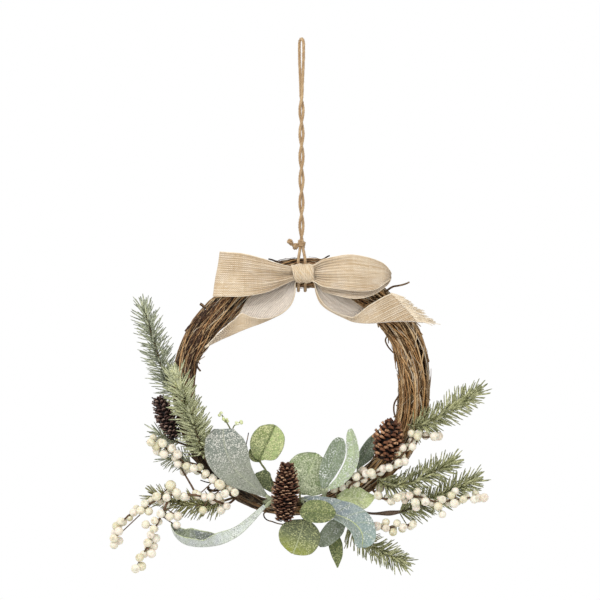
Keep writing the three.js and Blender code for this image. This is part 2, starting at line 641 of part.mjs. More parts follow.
// Leaves by the stem that holds them. The first stalk starts inside the ring, and the others start on it.
const LEAFY_STEMS = [
  {
    name: "lambs_ear_upright",
    material: "silver",
    leaves: [
      {
        stalk: [[-36, -116, 1], [-35, -110, 17]],
        spine: [[-36, -108.6, 21], [-52, -91, 23.4], [-71, -68, 25], [-87, -43, 22]],
        width: 43,
        shape: "spoon",
        face: [0.1, -0.1, 1],
        cup: 0.12,
      },
    ],
  },
  {
    name: "lambs_ear_lower_left",
    material: "silver",
    leaves: [
      {
        stalk: [[-42, -116, 0], [-38, -118, 14]],
        spine: [[-39, -119.4, 19], [-55, -135, 24], [-78, -146.5, 28], [-103, -146, 28], [-131, -139, 22]],
        width: 31,
        shape: "spoon",
        face: [-0.2, 0.75, 0.7],
        tipFace: [0.1, 0.55, 0.85],
        cup: 0.5,
      },
    ],
  },
  {
    name: "lambs_ear_drooping",
    material: "silver",
    leaves: [
      {
        stalk: [[2, -117, 2], [-1, -111, 16]],
        spine: [[0, -108.4, 22.5], [20, -108, 30], [42, -117, 34], [57, -136, 32], [62.5, -158, 24]],
        width: 31,
        shape: "spoon",
        face: [0.1, 0.25, 1],
        tipFace: [0.35, 0.2, 0.9],
        cup: 0.3,
      },
    ],
  },
  {
    name: "lambs_ear_pair",
    material: "sage",
    leaves: [
      {
        stalk: [[22, -114, 2], [21, -107, 15]],
        spine: [[20.4, -101, 19.4], [25, -84, 18.6], [33, -66, 17], [38.4, -50.5, 16.5]],
        width: 19,
        shape: "oval",
        face: [-0.25, 0, 1],
        cup: 0.3,
      },
      {
        stalk: [[21, -107, 15], [22.4, -103.4, 19]],
        spine: [[24, -101, 21.6], [38, -92, 25], [51, -71, 25], [48, -41, 19]],
        width: 16,
        shape: "oval",
        face: [-0.55, 0.1, 0.8],
        cup: 0.35,
      },
    ],
  },
  {
    name: "lambs_ear_dark",
    material: "sage",
    leaves: [
      {
        stalk: [[64, -92, 0], [58, -88, 3]],
        spine: [[54.6, -82, 3], [62, -68, 1], [69, -55, 0], [76, -42, -1]],
        width: 15,
        shape: "pointed",
        face: [0.2, 0, 1],
        cup: 0.25,
      },
    ],
  },
  {
    name: "eucalyptus_left",
    material: "leaf",
    leaves: [
      {
        stalk: [[-26, -115, 1], [-31, -93, 9], [-38, -81, 9]],
        spine: [[-43, -72.4, 10], [-38, -60, 12], [-32.6, -48, 11.6], [-28, -37, 9]],
        width: 34,
        shape: "round",
        face: [-0.1, 0, 1],
        cup: 0.14,
      },
      {
        stalk: [[-38, -81, 9], [-41, -77, 9]],
        spine: [[-43, -74, 8.6], [-48, -70, 7], [-53, -61, 6]],
        width: 9,
        shape: "oval",
        face: [-0.2, 0, 1],
        cup: 0.2,
      },
      {
        stalk: [[-31, -93, 9], [-33, -93, 11]],
        spine: [[-35, -92.4, 12], [-39, -88, 13], [-43, -84, 13], [-48, -79, 12.4]],
        width: 20,
        shape: "round",
        face: [0.1, 0, 1],
        cup: 0.16,
      },
    ],
  },
  {
    name: "eucalyptus_behind_cone",
    material: "leaf",
    leaves: [
      {
        stalk: [[-2, -117, 0], [-3, -109, 12]],
        spine: [[-1.6, -104, 13.6], [4, -92, 12.4], [10, -77, 11], [16, -62.5, 10]],
        width: 44,
        shape: "round",
        face: [0, 0, 1],
        cup: 0.08,
      },
    ],
  },
  {
    name: "eucalyptus_front",
    material: "leaf",
    leaves: [
      {
        stalk: [[8, -120, 2], [1, -124, 24]],
        spine: [[0.4, -121, 37], [10, -121, 41.6], [21, -121.6, 43], [32.6, -122.5, 42.6]],
        width: 22,
        shape: "round",
        face: [0.05, 0.3, 1],
        cup: 0.14,
      },
    ],
  },
  {
    name: "eucalyptus_bottom",
    material: "leaf",
    leaves: [
      {
        stalk: [[-4, -120, 2], [0, -129, 13]],
        spine: [[0, -133, 19.4], [-2, -145, 22], [-5, -157, 21], [-8, -167, 18]],
        width: 44,
        shape: "round",
        face: [0, 0.15, 1],
        cup: 0.1,
      },
    ],
  },
  {
    name: "eucalyptus_lower_right",
    material: "leaf",
    leaves: [
      {
        stalk: [[35, -113, 0], [36, -126, 9]],
        spine: [[34, -132.5, 10], [29, -141, 15], [22, -150, 16.4], [15.6, -158.6, 15]],
        width: 18,
        shape: "oval",
        face: [0.2, 0.1, 1],
        cup: 0.2,
      },
      {
        stalk: [[36, -126, 9], [34, -133, 8]],
        spine: [[32.4, -140, 7], [32, -153, 7], [34, -167, 7], [34.5, -180, 6]],
        width: 14,
        shape: "pointed",
        face: [0.1, 0, 1],
        cup: 0.25,
      },
    ],
  },
  {
    name: "eucalyptus_pointed",
    material: "leaf",
    leaves: [
      {
        stalk: [[38, -108, 4], [34, -106, 17]],
        spine: [[36.6, -105.6, 21.4], [48, -106.4, 24], [60, -108.6, 24.6], [72.6, -109.4, 22]],
        width: 23,
        shape: "pointed",
        face: [0.1, 0.1, 1],
        cup: 0.18,
      },
    ],
  },
];

const leafyStem = ({ leaves }) => outsideRing(union(leaves.map(leaf)));

// Stems with needles or berries raised from their sides

// Joins two loops of corners with triangles.
function zip(skin, low, high) {
  let i = 0;
  let j = 0;
  while (i < low.length || j < high.length) {
    const here = low[i % low.length];
    const there = high[j % high.length];
    if (j === high.length || (i + 1) / low.length <= (j + 1) / high.length) {
      i++;
      skin.triangles.push([here, low[i % low.length], there]);
    } else {
      j++;
      skin.triangles.push([here, high[j % high.length], there]);
    }
  }
}

// Raises a loop of corners to a point.
function addSpike(skin, foot, tip) {
  skin.corners.push(tip);
  foot.forEach((a, k) => skin.triangles.push([a, foot[(k + 1) % foot.length], skin.corners.length - 1]));
}

// Raises a loop of corners to a round berry with two rings of five corners and a crown.
function addBerry(skin, foot, centre, outward, radius) {
  const start = skin.corners[foot[0]].clone().sub(centre);
  const first = start.addScaledVector(outward, -start.dot(outward)).normalize();
  const second = outward.clone().cross(first);
  const edge = skin.corners[foot[1]].clone().sub(skin.corners[foot[0]]);
  const way = Math.sign(second.dot(edge));
  const [height, girth] = [radius / Math.sqrt(5), (2 * radius) / Math.sqrt(5)];
  const ring = (up, turn) =>
    Array.from({ length: 5 }, (_, k) => {
      const angle = way * ((2 * Math.PI * k) / 5 + turn);
      const corner = centre
        .clone()
        .addScaledVector(outward, up)
        .addScaledVector(first, girth * Math.cos(angle))
        .addScaledVector(second, girth * Math.sin(angle));
      return skin.corners.push(corner) - 1;
    });
  const low = ring(-height, 0);
  const high = ring(height, Math.PI / 5);
  zip(skin, foot, low);
  zip(skin, low, high);
  addSpike(skin, high, centre.clone().addScaledVector(outward, radius));
}

// A flat-sided stem along a line. raise(skin, i, places) may raise something on the sides of each stretch and
// tells which sides it used, and raiseTip(skin, ring, middle, along) closes the far end.
function grownStem({ line, sides, radius, spin, raise, raiseTip }) {
  const frames = framesAlong(line);
  const outwardAt = (i, j) => {
    const { side, across } = frames[Math.floor(i)];
    const turn = (2 * Math.PI * j) / sides + spin * i;
    return side.clone().multiplyScalar(Math.cos(turn)).addScaledVector(across, Math.sin(turn));
  };
  const ring = (i) => Array.from({ length: sides }, (_, j) => i * sides + j);
  const skin = {
    corners: line.flatMap((middle, i) =>
      Array.from({ length: sides }, (_, j) => middle.clone().addScaledVector(outwardAt(i, j), radius)),
    ),
    triangles: [],
  };
  const last = line.length - 1;
  for (let i = 0; i < last; i++) {
    const along = line[i + 1].clone().sub(line[i]).normalize();
    const places = ring(i).map((a, j) => {
      const b = i * sides + ((j + 1) % sides);
      const out = outwardAt(i + 0.5, j + 0.5);
      return {
        foot: [a, b, b + sides, a + sides],
        middle: line[i].clone().lerp(line[i + 1], 0.5),
        along,
        outward: out.addScaledVector(along, -out.dot(along)).normalize(),
      };
    });
    const raised = raise(skin, i, places);
    places.forEach(({ foot: [a, b, c, d] }, j) => {
      if (!raised.includes(j)) skin.triangles.push([a, b, c], [a, c, d]);
    });
  }
  for (let j = 1; j < sides - 1; j++) skin.triangles.push([0, j + 1, j]);
  raiseTip(skin, ring(last), line[last], frames[last].along);
  return solidFrom(skin.corners, skin.triangles);
}

// Shares of a stem's length: long steps along its bare foot, then short ones along its leafy length.
function stemShares(length, from, spacing) {
  const bare = Math.max(1, Math.round((from * length) / 14));
  const leafy = Math.max(1, Math.round(((1 - from) * length) / spacing));
  const foot = Array.from({ length: bare }, (_, i) => (from * i) / bare);
  const rest = Array.from({ length: leafy + 1 }, (_, i) => from + ((1 - from) * i) / leafy);
  return { bare, leafy, shares: [...foot, ...rest] };
}

// Berry sprays

// A spray's stems, the first from inside the ring, each with the share of its length that bears berries.
const BERRY_SPRAYS = [
  {
    name: "berry_spray_upper_left",
    seed: 21,
    stems: [
      {
        points: [[-60, -108, 1], [-67, -108, 14], [-81, -101.5, 17], [-98, -87, 16], [-113, -79, 13],
          [-126, -68, 13], [-140, -58, 14], [-153, -51, 15]],
        from: 0.14,
      },
    ],
  },
  {
    name: "berry_spray_lower_left",
    seed: 22,
    stems: [
      {
        points: [[-64, -107, 0], [-76, -116, 10], [-92, -110.5, 17], [-110, -106.5, 19], [-128, -106, 20],
          [-146, -112, 19], [-160, -119, 16], [-174, -127, 12], [-183, -137, 9], [-190, -153, 6]],
        from: 0.16,
      },
      {
        points: [[-132, -106.5, 20], [-141, -126, 21], [-148, -141, 20], [-156, -159, 18], [-167, -180, 15]],
        from: 0.12,
      },
      {
        points: [[-106, -107.4, 18.6], [-112, -97, 8], [-123, -79, 2]],
        from: 0.8,
      },
    ],
  },
  {
    name: "berry_spray_upper_right",
    seed: 23,
    stems: [
      {
        points: [[44, -104, 6], [48, -96, 19], [63, -88, 22], [80, -81.4, 24], [95, -70.6, 29],
          [104.5, -59, 29], [112, -48.6, 25], [123, -49, 19], [135, -48, 15]],
        from: 0.1,
      },
    ],
  },
  {
    name: "berry_spray_middle_right",
    seed: 24,
    stems: [
      {
        points: [[66, -98, 2], [79, -110, 14], [93, -110.5, 18], [107, -108, 20], [119, -109, 20],
          [133, -113.5, 19], [146, -112.5, 17], [159, -110.5, 15], [171, -109, 13], [182, -108, 11]],
        from: 0.14,
      },
    ],
  },
  {
    name: "berry_spray_lower_right",
    seed: 25,
    stems: [
      {
        points: [[53, -102, 2], [63, -128, 5], [74, -137, 8], [86, -139, 10], [99, -137.5, 11],
          [110, -136, 11]],
        from: 0.4,
      },
    ],
  },
];
const BERRY_RADIUS = 4.6;
const BERRY_STEM_RADIUS = 1.2;
const BERRY_SPACING = 6.4; // along a stem, with one berry at each step
const BERRY_LIFT = 0.84; // a berry's middle lies this share of its radius off its stem's middle
const BERRY_SIZES = [1, 0.85, 0.7]; // a berry that would touch another piece has this share of its size

function ball(middle, radius) {
  const geometry = new THREE.IcosahedronGeometry(radius, 0);
  geometry.translate(middle.x, middle.y, middle.z);
  return solidOf(geometry);
}

// Berries sit round their stem by turns, one at its end, and each keeps clear of the others and all pieces.
function berryStem({ points, from }, random, berries) {
  const isFree = (centre, radius) =>
    berries.every((b) => b.centre.distanceTo(centre) > b.radius + radius) &&
    isClear(ball(centre, radius + 1.5 * CLEARANCE));
  const curve = curveThrough(points);
  const { bare, shares } = stemShares(curve.getLength(), from, BERRY_SPACING);
  return grownStem({
    line: shares.map((t) => curve.getPointAt(t)),
    sides: 3,
    radius: BERRY_STEM_RADIUS,
    spin: 0.3,
    raise(skin, i, places) {
      if (i < bare) return [];
      const full = BERRY_RADIUS * (0.84 + 0.24 * random());
      for (const share of BERRY_SIZES) {
        const radius = full * share;
        const lift = BERRY_STEM_RADIUS / 2 + BERRY_LIFT * radius;
        const centreOn = ({ middle, outward }) => middle.clone().addScaledVector(outward, lift);
        const side = [i % 3, (i + 1) % 3, (i + 2) % 3].find((j) => isFree(centreOn(places[j]), radius));
        if (side === undefined) continue;
        const centre = centreOn(places[side]);
        addBerry(skin, places[side].foot, centre, places[side].outward, radius);
        berries.push({ centre, radius });
        return [side];
      }
      return [];
    },
    raiseTip(skin, ring, middle, along) {
      const radius = BERRY_RADIUS * 0.85;
      const centre = middle.clone().addScaledVector(along, 0.8 * radius);
      if (isFree(centre, radius)) {
        addBerry(skin, ring, centre, along, radius);
        berries.push({ centre, radius });
      } else addSpike(skin, ring, middle.clone().addScaledVector(along, 2));
    },
  });
}

function berrySpray({ seed, stems }) {
  const random = randomFrom(seed);
  const berries = [];
  return largestBody(union(stems.map((stem) => outsideRing(berryStem(stem, random, berries)))));
}

// Fir sprays

// Each spray's stem, from inside the ring to its tip, and where its needles start along it.
const FIR_SPRAYS = [
  {
    name: "fir_spray_left_top",
    seed: 31,
    points: [[-113, -28, -2], [-122, -16, -15], [-133, 3, -12], [-142, 26, -5], [-150, 52, 1],
      [-159, 82, 4]],
    from: 0.34,
    length: 19,
  },
  {
    name: "fir_spray_left_front",
    seed: 32,
    points: [[-96, -77, -1], [-97.5, -66, 10], [-101, -52, 18], [-106, -36, 24], [-113, -16, 28.5],
      [-119, 2, 30], [-124, 14, 30]],
    from: 0.18,
    length: 20,
  },
  {
    name: "fir_spray_left_low",
    seed: 33,
    points: [[-106, -61, -2], [-119, -57, -5], [-133, -51.4, -5], [-146, -45, -3]],
    from: 0.45,
    length: 16,
  },
  {
    name: "fir_spray_left_under",
    seed: 34,
    points: [[-94, -80, -2], [-111, -77, -7], [-128, -75, -8], [-140, -74, -6]],
    from: 0.4,
    length: 14,
  },
  {
    name: "fir_spray_lower_left",
    seed: 35,
    points: [[-62, -107, -2], [-76, -111.4, -4], [-96, -114.6, 1], [-120, -113, 5], [-140, -108, 6],
      [-152, -104, 8]],
    from: 0.24,
    length: 16,
  },
  {
    name: "fir_spray_right_top",
    seed: 36,
    points: [[104, -37, 8], [113, -34.5, 14.5], [126, -28.5, 17.5], [151, -15, 16], [176, -1, 11]],
    from: 0.22,
    length: 19,
  },
  {
    name: "fir_spray_right_middle",
    seed: 37,
    points: [[76, -86, 9], [88, -86.6, 14], [104, -83.2, 14.6], [126, -76.8, 12], [150, -68.5, 8]],
    from: 0.22,
    length: 17,
  },
  {
    name: "fir_spray_right_low",
    seed: 38,
    points: [[44, -105, -6], [60, -124, -8], [82, -126.5, -4], [103, -122, -1], [127, -111.5, 0],
      [152, -99, 2], [176, -86.5, 4]],
    from: 0.46,
    length: 18,
  },
  {
    name: "fir_spray_bottom",
    seed: 39,
    points: [[32, -110, -4], [38, -128, -4.5], [49, -145, -2], [66, -157, 1.5], [84, -166, 4],
      [100, -174, 6]],
    from: 0.34,
    length: 18,
  },
];

const NEEDLE_LENGTHS = [1, 0.8, 0.6, 0.4]; // a needle that would touch another grows this much
const NEEDLE_APART = 1; // between the middles of two needles of a spray

// The least distance between two straight stretches, each given by its ends.
function stretchesApart([a, b], [c, d]) {
  const [u, v, w] = [b.clone().sub(a), d.clone().sub(c), a.clone().sub(c)];
  const [uu, uv, vv, uw, vw] = [u.dot(u), u.dot(v), v.dot(v), u.dot(w), v.dot(w)];
  const open = uu * vv - uv * uv;
  let s = open > 1e-9 ? THREE.MathUtils.clamp((uv * vw - vv * uw) / open, 0, 1) : 0;
  const t = THREE.MathUtils.clamp((uv * s + vw) / vv, 0, 1);
  s = THREE.MathUtils.clamp((uv * t - uw) / uu, 0, 1);
  return w.addScaledVector(u, s).addScaledVector(v, -t).length();
}

// Where a needle's tip lies, or null if even a short one would touch another piece or another needle.
function needleTip(root, along, outward, lean, reach, grown) {
  const heading = along.clone().multiplyScalar(Math.cos(lean)).addScaledVector(outward, Math.sin(lean));
  const start = root.clone().addScaledVector(heading, 2 * FIR_STEM_RADIUS);
  for (const share of NEEDLE_LENGTHS) {
    const tip = root.clone().addScaledVector(heading, reach * share);
    if (grown.some((other) => stretchesApart([start, tip], other) < NEEDLE_APART)) continue;
    const guard = tip.clone().addScaledVector(heading, 2 * CLEARANCE);
    if (!isClear(needle(root, guard, NEEDLE_HALF_WIDTH + 2 * CLEARANCE))) continue;
    grown.push([start, tip]);
    return tip;
  }
  return null;
}

// A stem whose skin rises into a pointed needle on every side, at each step of its leafy length.
function firSpray({ seed, points, from, length }) {
  const random = randomFrom(seed);
  const curve = curveThrough(points);
  const { bare, leafy, shares } = stemShares(curve.getLength(), from, NEEDLE_SPACING);
  const grown = [];
  const stem = grownStem({
    line: shares.map((t) => curve.getPointAt(t)),
    sides: 4,
    radius: FIR_STEM_RADIUS,
    spin: 0.45,
    raise(skin, i, places) {
      const share = (i - bare + 0.5) / leafy;
      if (share < 0) return [];
      return places.flatMap(({ foot, middle, along, outward }, j) => {
        const upright = 1 - 0.55 * THREE.MathUtils.smoothstep(share, 0.75, 1);
        const lean = NEEDLE_ANGLE * upright + 0.1 * (random() - 0.5);
        const reach = length * (0.86 + 0.24 * random()) * (1 - 0.12 * share);
        const tip = needleTip(middle, along, outward, lean, reach, grown);
        if (!tip) return [];
        addSpike(skin, foot, tip);
        return [j];
      });
    },
    raiseTip: (skin, ring, middle, along) =>
      addSpike(skin, ring, middle.clone().addScaledVector(along, 0.8 * length)),
  });
  return outsideRing(stem);
}

// A thin forked sprig with small buds at its ends, behind the upright leaf.
function budSprig() {
  const main = [[-60, -107, 1], [-62, -80, 14], [-67, -55, 15], [-73, -40, 15], [-81, -27, 15]];
  const fork = [[-71, -45, 15], [-69, -38, 15.6], [-63, -34, 16]];
  const buds = [[-82, -26, 15], [-79.4, -31, 16], [-76.6, -33, 13.6], [-67, -35.6, 17], [-62, -33.6, 16]];
  return union([
    outsideRing(stemRod(main, 0.9, 0.8, 3, 22)),
    stemRod(fork, 0.8, 0.8, 3, 10),
    ...buds.map((place) => ball(point(place), 2.3)),
  ]);
}

const MATERIALS = {
  twig: new THREE.MeshStandardMaterial({ color: 0x6b4f37, roughness: 0.85, metalness: 0 }),
  cord: new THREE.MeshStandardMaterial({ color: 0xb5945f, roughness: 0.9, metalness: 0 }),
  ribbon: new THREE.MeshStandardMaterial({ color: 0xcdb699, roughness: 0.9, metalness: 0 }),
  cone: new THREE.MeshStandardMaterial({ color: 0x4d2f22, roughness: 0.8, metalness: 0 }),
  silver: new THREE.MeshStandardMaterial({ color: 0x9aa8a4, roughness: 0.85, metalness: 0 }),
  sage: new THREE.MeshStandardMaterial({ color: 0x8fa184, roughness: 0.85, metalness: 0 }),
  leaf: new THREE.MeshStandardMaterial({ color: 0x7c8f5e, roughness: 0.7, metalness: 0 }),
  berry: new THREE.MeshStandardMaterial({ color: 0xe6dfcb, roughness: 0.5, metalness: 0 }),
  fir: new THREE.MeshStandardMaterial({ color: 0x6f7d55, roughness: 0.75, metalness: 0 }),
  bud: new THREE.MeshStandardMaterial({ color: 0xc3cf9a, roughness: 0.7, metalness: 0 }),
};

// Order matters: a piece's needles and berries keep clear of the pieces made before it.
addPiece("twig_ring", twigRing(0), "twig");
addPiece("hanging_cord", hangingCord(), "cord");
addPiece("cord_wrap", cordWrap(), "cord");
addPiece("bow_ribbon", bowRibbon(), "ribbon");
addPiece("bow_knot_band", bowKnotBand(), "ribbon");
CONES.forEach((cone) => addPiece(cone.name, coneSolid(cone), "cone"));
LEAFY_STEMS.forEach((leafy) => addPiece(leafy.name, leafyStem(leafy), leafy.material));
addPiece("bud_sprig", budSprig(), "bud");
BERRY_SPRAYS.forEach((spray) => addPiece(spray.name, berrySpray(spray), "berry"));
FIR_SPRAYS.forEach((spray) => addPiece(spray.name, firSpray(spray), "fir"));

function meshOf({ name, solid, material }) {
  const { vertProperties, triVerts } = solid.getMesh();
  const geometry = new THREE.BufferGeometry();
  geometry.setAttribute("position", new THREE.BufferAttribute(new Float32Array(vertProperties), 3));
  geometry.setIndex(new THREE.BufferAttribute(new Uint32Array(triVerts), 1));
  geometry.computeVertexNormals();
  const mesh = new THREE.Mesh(geometry, MATERIALS[material]);
  mesh.name = name;
  return mesh;
}

const picturePlane = new THREE.Group();
picturePlane.rotation.x = Math.PI / 2;
picturePlane.position.set(HANG_SIDE, 0, -HANG_DROP);
pieces.forEach((piece) => picturePlane.add(meshOf(piece)));

const wreath = new THREE.Group();
wreath.add(picturePlane);

export default wreath;
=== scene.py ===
import math

import bpy
import numpy as np
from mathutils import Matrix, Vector
from mathutils.bvhtree import BVHTree


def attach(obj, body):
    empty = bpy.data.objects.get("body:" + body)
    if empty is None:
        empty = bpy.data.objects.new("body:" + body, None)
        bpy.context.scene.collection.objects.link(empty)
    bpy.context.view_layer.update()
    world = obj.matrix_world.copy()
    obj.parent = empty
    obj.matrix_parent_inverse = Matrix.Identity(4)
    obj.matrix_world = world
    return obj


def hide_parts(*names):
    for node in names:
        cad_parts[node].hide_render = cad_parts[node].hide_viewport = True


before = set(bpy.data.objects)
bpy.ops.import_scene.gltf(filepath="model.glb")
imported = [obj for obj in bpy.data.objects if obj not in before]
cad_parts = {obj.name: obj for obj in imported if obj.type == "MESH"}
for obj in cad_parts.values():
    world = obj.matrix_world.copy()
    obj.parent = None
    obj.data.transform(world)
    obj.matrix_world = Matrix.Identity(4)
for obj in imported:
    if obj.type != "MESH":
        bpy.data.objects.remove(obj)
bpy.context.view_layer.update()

# A wreath of wound vine twigs with a hessian bow, a jute loop, frosted sprays, berries, cones and leaves.
# Places are millimetres in the picture's plane, measured from the ring's centre: right, up and out of it.
# Colours are screen values, as they look under the studio light.

# The frame's origin, under the top of the jute loop: how far left of the ring's centre, and how far above it
HANG_SIDE = 1.5
HANG_DROP = 348.5

# The camera, in metres: straight on, and far enough away to show the wreath nearly without perspective

VIEW_WIDTH = 0.6
VIEW_MIDDLE = (-0.0015, -0.01, -0.2605)
CAMERA_DISTANCE = 5.0
SENSOR_WIDTH = 36  # in millimetres

camera = bpy.data.objects.new("camera", bpy.data.cameras.new("camera"))
bpy.context.scene.collection.objects.link(camera)
bpy.context.scene.camera = camera
camera.data.sensor_width = SENSOR_WIDTH
camera.data.lens = SENSOR_WIDTH * CAMERA_DISTANCE / VIEW_WIDTH
camera.location = (VIEW_MIDDLE[0], VIEW_MIDDLE[1] - CAMERA_DISTANCE, VIEW_MIDDLE[2])
camera.rotation_euler = (math.radians(90), 0, 0)

# Curves and meshes

CURVE_STEPS = 24  # for each row that a smooth curve is drawn through
# Directions that no path or axis here runs along
OFF_PATH, OFF_AXIS, OFF_COIL = (0.31, 0.17, 0.93), (0.37, 0.22, 0.9), (0.2, 0.1, 0.97)


def in_frame(points):
    """Picture millimetres as metres in the frame."""
    right, up, out = np.moveaxis(np.asarray(points, float), -1, 0)
    return stacked(right + HANG_SIDE, -out, up - HANG_DROP) / 1000


def stacked(*columns):
    """Arrays that fit together, as the columns of one."""
    return np.stack(np.broadcast_arrays(*columns), -1)


def unit(vectors):
    return vectors / np.maximum(np.linalg.norm(vectors, axis=-1, keepdims=True), 1e-9)


def eased(value, low, high):
    """From 0 at the low value to 1 at the high one, gently."""
    share = np.clip((value - low) / (high - low), 0, 1)
    return share * share * (3 - 2 * share)


def distances(path):
    """How far along a path each of its points lies."""
    return np.concatenate([[0], np.cumsum(np.linalg.norm(np.diff(path[:, :3], axis=0), axis=1))])


def rows_at(places, far, rows):
    """The rows at some places along a path, when its own rows lie this far along it."""
    return stacked(*(np.interp(places, far, column) for column in rows.T))


def smooth(points, spacing):
    """Even rows along a smooth curve through the given rows, whose first three values are a place."""
    rows = np.asarray(points, float)
    times = np.concatenate([[0], np.cumsum(np.sqrt(np.diff(distances(rows))))])
    slopes = np.gradient(rows, times, axis=0)
    fine = np.linspace(0, times[-1], CURVE_STEPS * len(rows))
    k = np.clip(np.searchsorted(times, fine, side="right") - 1, 0, len(rows) - 2)
    span = (times[k + 1] - times[k])[:, None]
    s = (fine[:, None] - times[k][:, None]) / span
    curve = (
        (2 * s**3 - 3 * s**2 + 1) * rows[k]
        + (s**3 - 2 * s**2 + s) * span * slopes[k]
        + (3 * s**2 - 2 * s**3) * rows[k + 1]
        + (s**3 - s**2) * span * slopes[k + 1]
    )
    far = distances(curve)
    steps = max(2, int(math.ceil(far[-1] / spacing)) + 1)
    return rows_at(np.linspace(0, far[-1], steps), far, curve)


def frames(path):
    """The directions along, to the side of and across a path, turning as little as possible."""
    along = unit(np.gradient(path, axis=0))
    side = np.empty_like(along)
    start = np.cross(along[0], OFF_PATH)
    for i, direction in enumerate(along):
        previous = side[i - 1] if i else start
        side[i] = previous - direction * previous.dot(direction)
        side[i] /= np.linalg.norm(side[i])
    return along, side, np.cross(along, side)


def grid_faces(rows, columns, wrap=False):
    i = np.arange(rows - 1)[:, None] * columns
    j = np.arange(columns if wrap else columns - 1)[None]
    k = (j + 1) % columns
    return np.stack([i + j, i + k, i + columns + k, i + columns + j], -1).reshape(-1, 4)


def closed_faces(rings, sides):
    """The faces of a stack of rings, with a cap on each end."""
    ring = np.arange(sides)[None]
    return [grid_faces(rings, sides, wrap=True), ring[:, ::-1], ring + (rings - 1) * sides]


def around(side, across, turn):
    """The direction at an angle round a path or an axis."""
    return side * np.cos(turn) + across * np.sin(turn)


class Shape:
    """A growing mesh. Each point has a tone from 0 to 1, and a grain, its place in the material's run."""

    def __init__(self):
        self.points, self.tones, self.grains, self.faces, self.looks = [], [], [], [], []
        self.count = 0

    def add(self, points, faces, tone, grain, look=0):
        points = np.reshape(points, (-1, 3))
        self.points.append(points)
        self.tones.append(np.broadcast_to(np.ravel(tone), len(points)))
        self.grains.append(np.reshape(grain, (-1, 3)))
        for part in faces:
            self.faces += (part + self.count).tolist()
            self.looks += [look] * len(part)
        self.count += len(points)

    def tree(self):
        return BVHTree.FromPolygons(np.concatenate(self.points).tolist(), self.faces)


def piece_of(shape, name, materials, slot, *nodes):
    """The Blender object of a finished shape, which rides on the wreath and stands for the named nodes."""
    mesh = bpy.data.meshes.new(name)
    mesh.from_pydata(in_frame(np.concatenate(shape.points)).tolist(), [], shape.faces)
    for material in materials:
        mesh.materials.append(material)
    mesh.polygons.foreach_set("material_index", shape.looks)
    mesh.polygons.foreach_set("use_smooth", [True] * len(mesh.polygons))
    tone = mesh.attributes.new("tone", "FLOAT", "POINT")
    tone.data.foreach_set("value", np.concatenate(shape.tones).astype(np.float32))
    grain = mesh.attributes.new("grain", "FLOAT_VECTOR", "POINT")
    grain.data.foreach_set("vector", np.concatenate(shape.grains).astype(np.float32).ravel())
    mesh.update()
    piece = bpy.data.objects.new(name, mesh)
    bpy.context.scene.collection.objects.link(piece)
    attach(piece, "root")
    if nodes:
        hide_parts(*nodes)
    return piece


def tube(shape, path, radius, sides, tone, look=0, shift=0.0):
    """A closed tube along a path. Its grain runs round it and along it."""
    path = np.asarray(path, float)
    _, side, across = frames(path)
    turn = 2 * np.pi * np.arange(sides) / sides
    reach = np.broadcast_to(radius, len(path))[:, None]
    wide, high = reach * np.cos(turn), reach * np.sin(turn)
    rings = path[:, None] + side[:, None] * wide[..., None] + across[:, None] * high[..., None]
    grain = stacked(wide, high, distances(path)[:, None]) + shift
    tones = np.broadcast_to(np.reshape(tone, (-1, 1)), wide.shape)
    shape.add(rings, closed_faces(len(path), sides), tones, grain, look)


def slab(shape, grid, thickness, tone, grain, looks=(0, 0)):
    """A thin closed sheet over a grid of points. Its front faces side cross along."""
    rows, columns = grid.shape[:2]
    out = unit(np.cross(np.gradient(grid, axis=1), np.gradient(grid, axis=0)))
    half = np.broadcast_to(thickness, (rows, columns))[..., None] / 2
    quads = grid_faces(rows, columns)
    size = rows * columns
    index = np.arange(size).reshape(rows, columns)
    border = np.concatenate([index[0], index[1:, -1], index[-1, -2::-1], index[-2:0:-1, 0]])
    after = np.roll(border, -1)
    rim = np.stack([border + size, after + size, after, border], -1)
    both = np.stack([grid + out * half, grid - out * half])
    tones = np.broadcast_to(tone, (rows, columns))
    start = shape.count
    shape.add(both, [quads, rim], np.stack([tones, tones]), np.stack([grain, grain]), looks[0])
    under = quads[:, ::-1] + size + start
    shape.faces += under.tolist()
    shape.looks += [looks[1]] * len(under)


def ball(shape, centre, radius, axis, rings, sides, dent, tone, look=0):
    """A ball with a dent at the end of its axis. Its grain runs from -1 to 1 in each direction."""
    axis = unit(np.asarray(axis, float))
    side = unit(np.cross(axis, OFF_AXIS))
    across = np.cross(axis, side)
    fall = np.pi * np.linspace(0.02, 0.98, rings)[::-1, None]
    turn = 2 * np.pi * np.arange(sides) / sides
    reach = radius * (1 - dent * np.exp(-((fall / 0.4) ** 2)))
    level = reach * np.sin(fall)
    local = stacked(level * np.cos(turn), level * np.sin(turn), reach * np.cos(fall))
    points = centre + local[..., :1] * side + local[..., 1:2] * across + local[..., 2:] * axis
    shape.add(points, closed_faces(rings, sides), tone, local / radius, look)


def sway(rng, places, waves):
    """A slow random wander between about -1 and 1, over places from 0 to 1."""
    total = np.zeros_like(places)
    for k in range(1, waves + 1):
        total += np.sin(2 * np.pi * (k * places * rng.uniform(0.6, 1.4) + rng.random())) / k
    return total / 1.6


# Materials

DAYLIGHT = 1.12  # what the studio light adds up to on a white surface that faces the camera
DRIFT_SHARE = 0.6  # how much the drifts of frost count beside its grit


def paint(red, green, blue):
    """A colour as it looks under the studio light, in screen values, as the surface's own colour."""
    linear = [((v / 255 + 0.055) / 1.055) ** 2.4 if v > 10 else v / 255 / 12.92 for v in (red, green, blue)]
    return (*[v / DAYLIGHT for v in linear], 1)


